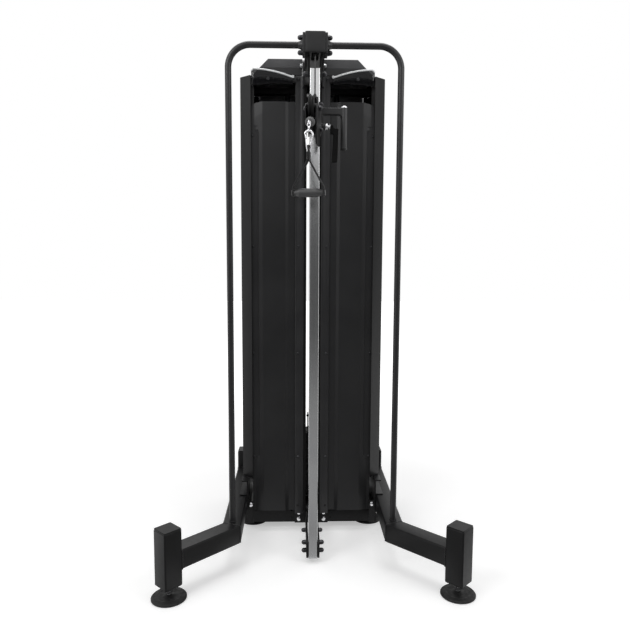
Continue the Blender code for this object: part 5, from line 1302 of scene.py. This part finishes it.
section = [(BALL_R * sin(pi * k / 28), BALL_Y + BALL_R * cos(pi * k / 28)) for k in range(1, 28)]
section = [(0, BALL_Y + BALL_R), *section, (0, BALL_Y - BALL_R)]
ferrule = [(0, BALL_Y - 0.013), (0.0075, BALL_Y - 0.015), (0.006, BALL_Y - 0.0205),
           (0.0045, HOOK_Y + 0.007), (0, HOOK_Y + 0.007)]
stopper = joined("ball_fine", [
    turned("ball_body", section, "Y", 0, BALL_Z, hand_rubber, 44, smooth=60),
    wire_loop("ball_eye", hoop("X", 0, 0.0071, 28, HOOK_Y, EYE_Z), 0.0017),
    turned("ball_neck", ferrule, "Y", 0, EYE_Z + 0.001, chrome, 28, soft=(0.001, 2))])
hung(stopper, "ball_stop")
print(stopper.name, len(stopper.data.polygons), "faces")

# %% Snap hook and gate
WIRE, CROWN_R, FOOT_R = 0.0036, 0.0154, 0.0072
CROWN_Z, FOOT_Z = 1.8298 - CROWN_R, 1.7612 + FOOT_R
PIVOT = Vector((-0.01058, HOOK_Y, 1.80155))
NOSE_TURN, GATE_R = radians(160), WIRE * 0.8


def arc_of(radius, z, first, last, steps):
    turns = (first + (last - first) * k / steps for k in range(steps + 1))
    return [Vector((radius * cos(turn), HOOK_Y, z + radius * sin(turn))) for turn in turns]


lean = asin((CROWN_R - FOOT_R) / (CROWN_Z - FOOT_Z))  # of the straight side, between the arcs
wire = (arc_of(CROWN_R, CROWN_Z, NOSE_TURN, -lean, 28)
        + arc_of(FOOT_R, FOOT_Z, -lean, lean - pi, 16))
wire.append(PIVOT - (PIVOT - wire[-1]).normalized() * (GATE_R + 0.0005))
nose = turned("hook_nose", mm([(0, -3.6), (2.5, -2.7), (3.6, 0), (2.5, 2.7), (0, 3.6)]), "Y", 0, 0,
              chrome, 20, smooth=80)
nose.data.transform(Matrix.Translation(wire[0]))
hook = joined("hook_fine", [
    bar.run(line_of("hook_bar", wire), Radius=WIRE, Sides=20, Material=chrome), nose,
    wire_loop("swivel_eye", hoop("Y", HOOK_Y, 0.006, 28, 0, 1.8512)),
    wire_loop("swivel_ring", hoop("X", 0, 0.0057, 28, HOOK_Y, CROWN_Z + CROWN_R + 0.0005)),
    turned("swivel_barrel", rod(0.0038, 1.8362, 1.8462), "Z", 0, HOOK_Y, chrome, 24,
           soft=(0.0012, 3))])
hung(hook, "snap_hook")
reach = wire[0] - PIVOT
length = reach.length - 0.0028
section = [(0, -GATE_R), (GATE_R, -GATE_R), (GATE_R, length), (0, length)]
gate = turned("gate_bar", section, "Z", 0, 0, chrome, 24,
              soft=([0, GATE_R * 0.8, GATE_R * 0.5, 0], 4))
leaning = Vector((0, 0, 1)).rotation_difference(reach.normalized()).to_matrix().to_4x4()
gate.data.transform(Matrix.Translation(PIVOT) @ leaning)
rivet = turned("hook_rivet", rod(0.0022, HOOK_Y - 0.0043, HOOK_Y - 0.003), "Y", PIVOT.x, PIVOT.z,
               zinc, 20, soft=(0.0005, 2))
gate = hung(joined("gate_fine", [gate, rivet]), "hook_gate")
print(hook.name, gate.name)

# %% [markdown]
# The strap is one band of webbing folded double at the hook: a stitched neck, then two
# legs that part and hang past the ends of the grip. Each layer is a flat section that
# follows its line, with a UV map in metres for the weave. Its hanging ends are cut
# round the grip's necks.

# %% Strap
STRAP_WIDE, STRAP_THICK, GRIP_Z = 0.03, 0.0053, 1.5954


def webbing_band(name, points):
    """points are (x, z) of the band's middle line; the band lies across Y."""
    wide, flat, thick = STRAP_WIDE / 2, STRAP_WIDE / 2 - STRAP_THICK * 0.3, STRAP_THICK / 2
    section = [(-wide, 0), (-flat, thick), (0, thick * 1.05), (flat, thick),
               (wide, 0), (flat, -thick), (0, -thick * 1.05), (-flat, -thick)]
    shape = bmesh.new()
    layer = shape.loops.layers.uv.new("strap")
    rows, travelled = [], 0.0
    for i, point in enumerate(points):
        here = Vector(point)
        ahead = Vector(points[min(i + 1, len(points) - 1)]) - Vector(points[max(i - 1, 0)])
        normal = Vector((ahead.y, -ahead.x)).normalized()
        travelled += (here - Vector(points[i - 1])).length if i else 0.0
        rows.append([(shape.verts.new((here.x + normal.x * n, HOOK_Y + w, here.y + normal.y * n)),
                      (w, travelled)) for w, n in section])
    skinned(shape, [[corner for corner, _ in row] for row in rows])
    uv_of = {corner: uv for row in rows for corner, uv in row}
    for face in shape.faces[:-2]:
        for loop in face.loops:
            loop[layer].uv = uv_of[loop.vert]
    return piece_of(name, shape, webbing, 50)


def drawn_finely(points, step=0.003):
    """More points along a line, none further apart than a step."""
    made = [points[0]]
    for a, b in zip(points, points[1:]):
        count = max(1, round((Vector(b) - Vector(a)).length / step))
        made += [tuple(Vector(a).lerp(Vector(b), k / count)) for k in range(1, count + 1)]
    return made


hang = 0.0626 - STRAP_THICK / 2 - 0.0004
corners = [(0.00275, 1.7502), (0.00275, 1.7195), (hang, 1.6165), (hang, 1.5812)]
line = drawn_finely(filleted(corners, [0, 0.014, 0.01, 0], 6, closed=False))
legs = [webbing_band("strap_leg", [(side * x, z) for x, z in line]) for _, side in SIDES]
outer = filleted(rectangle(0.0148, 0.017, HOOK_Y, 1.7596), [0.002, 0.002, 0.011, 0.011], 6)
tab = solid("strap_tab", [(outer, "X", -0.0029, 0.0029)], webbing, 40)
tab.data.uv_layers.new(name="strap")
for loop in tab.data.loops:
    spot = tab.data.vertices[loop.vertex_index].co
    tab.data.uv_layers["strap"].data[loop.index].uv = (spot.y - HOOK_Y, spot.z)
eyelet = filleted(rectangle(0.0044, 0.0078, HOOK_Y, 1.7637), 0.004, 6)
drill = solid("drill", [(eyelet, "X", -0.02, 0.02),
                        (ring(0.0095, 32, HOOK_Y, GRIP_Z), "X", -0.08, 0.08)], webbing)
strap = cut(joined("strap_fine", legs + [tab]), drill, use_self=True)
hung(strap, "handle_strap")
for letter, side in SIDES:
    box_line = [(side * 0.0057, HOOK_Y + u, v) for u, v in rectangle(0.0115, 0.0085, 0, 1.736)]
    sewn = weld.run(line_of("stitches_" + letter, box_line, True), Size=0.00045, Pitch=0.0032,
                    Long=2.6, Seed=21, Material=sewing)
    sewn.data.transform(FORK)
    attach(sewn, body_of["handle_strap"])
print(strap.name, len(strap.data.polygons), "faces")

# %% [markdown]
# The grip turns on its necks between the strap's ends. Fine ribs go round its middle,
# so the section has a small wave before it is spun.

# %% Grip
GRIP_END, GRIP_INNER, RIB = 0.065, 0.0568, 0.0014
neck = [(0, GRIP_END + 0.001), (0.01, GRIP_END + 0.001), (0.0115, GRIP_END - 0.0005),
        (0.0115, GRIP_END - 0.0014), (0.0085, GRIP_END - 0.0016), (0.0085, GRIP_INNER),
        (0.0115, GRIP_INNER), (0.0117, GRIP_INNER - 0.008), (0.0135, GRIP_INNER - 0.012),
        (0.016, GRIP_INNER - 0.019)]
wave = [(0.0168 + (0.0005 if k % 2 else -0.0001), -0.034 + RIB * k) for k in range(1, 49)]
section = [(r, -w) for r, w in neck] + wave + neck[::-1]
grip = turned("grip_fine", section, "X", HOOK_Y, GRIP_Z, hand_rubber, 44, smooth=60)
hung(grip, "handle_grip")
print(grip.name, len(grip.data.polygons), "faces")

# %% Put the patterns away
for made in pattern_of.values():
    bpy.data.objects.remove(made)
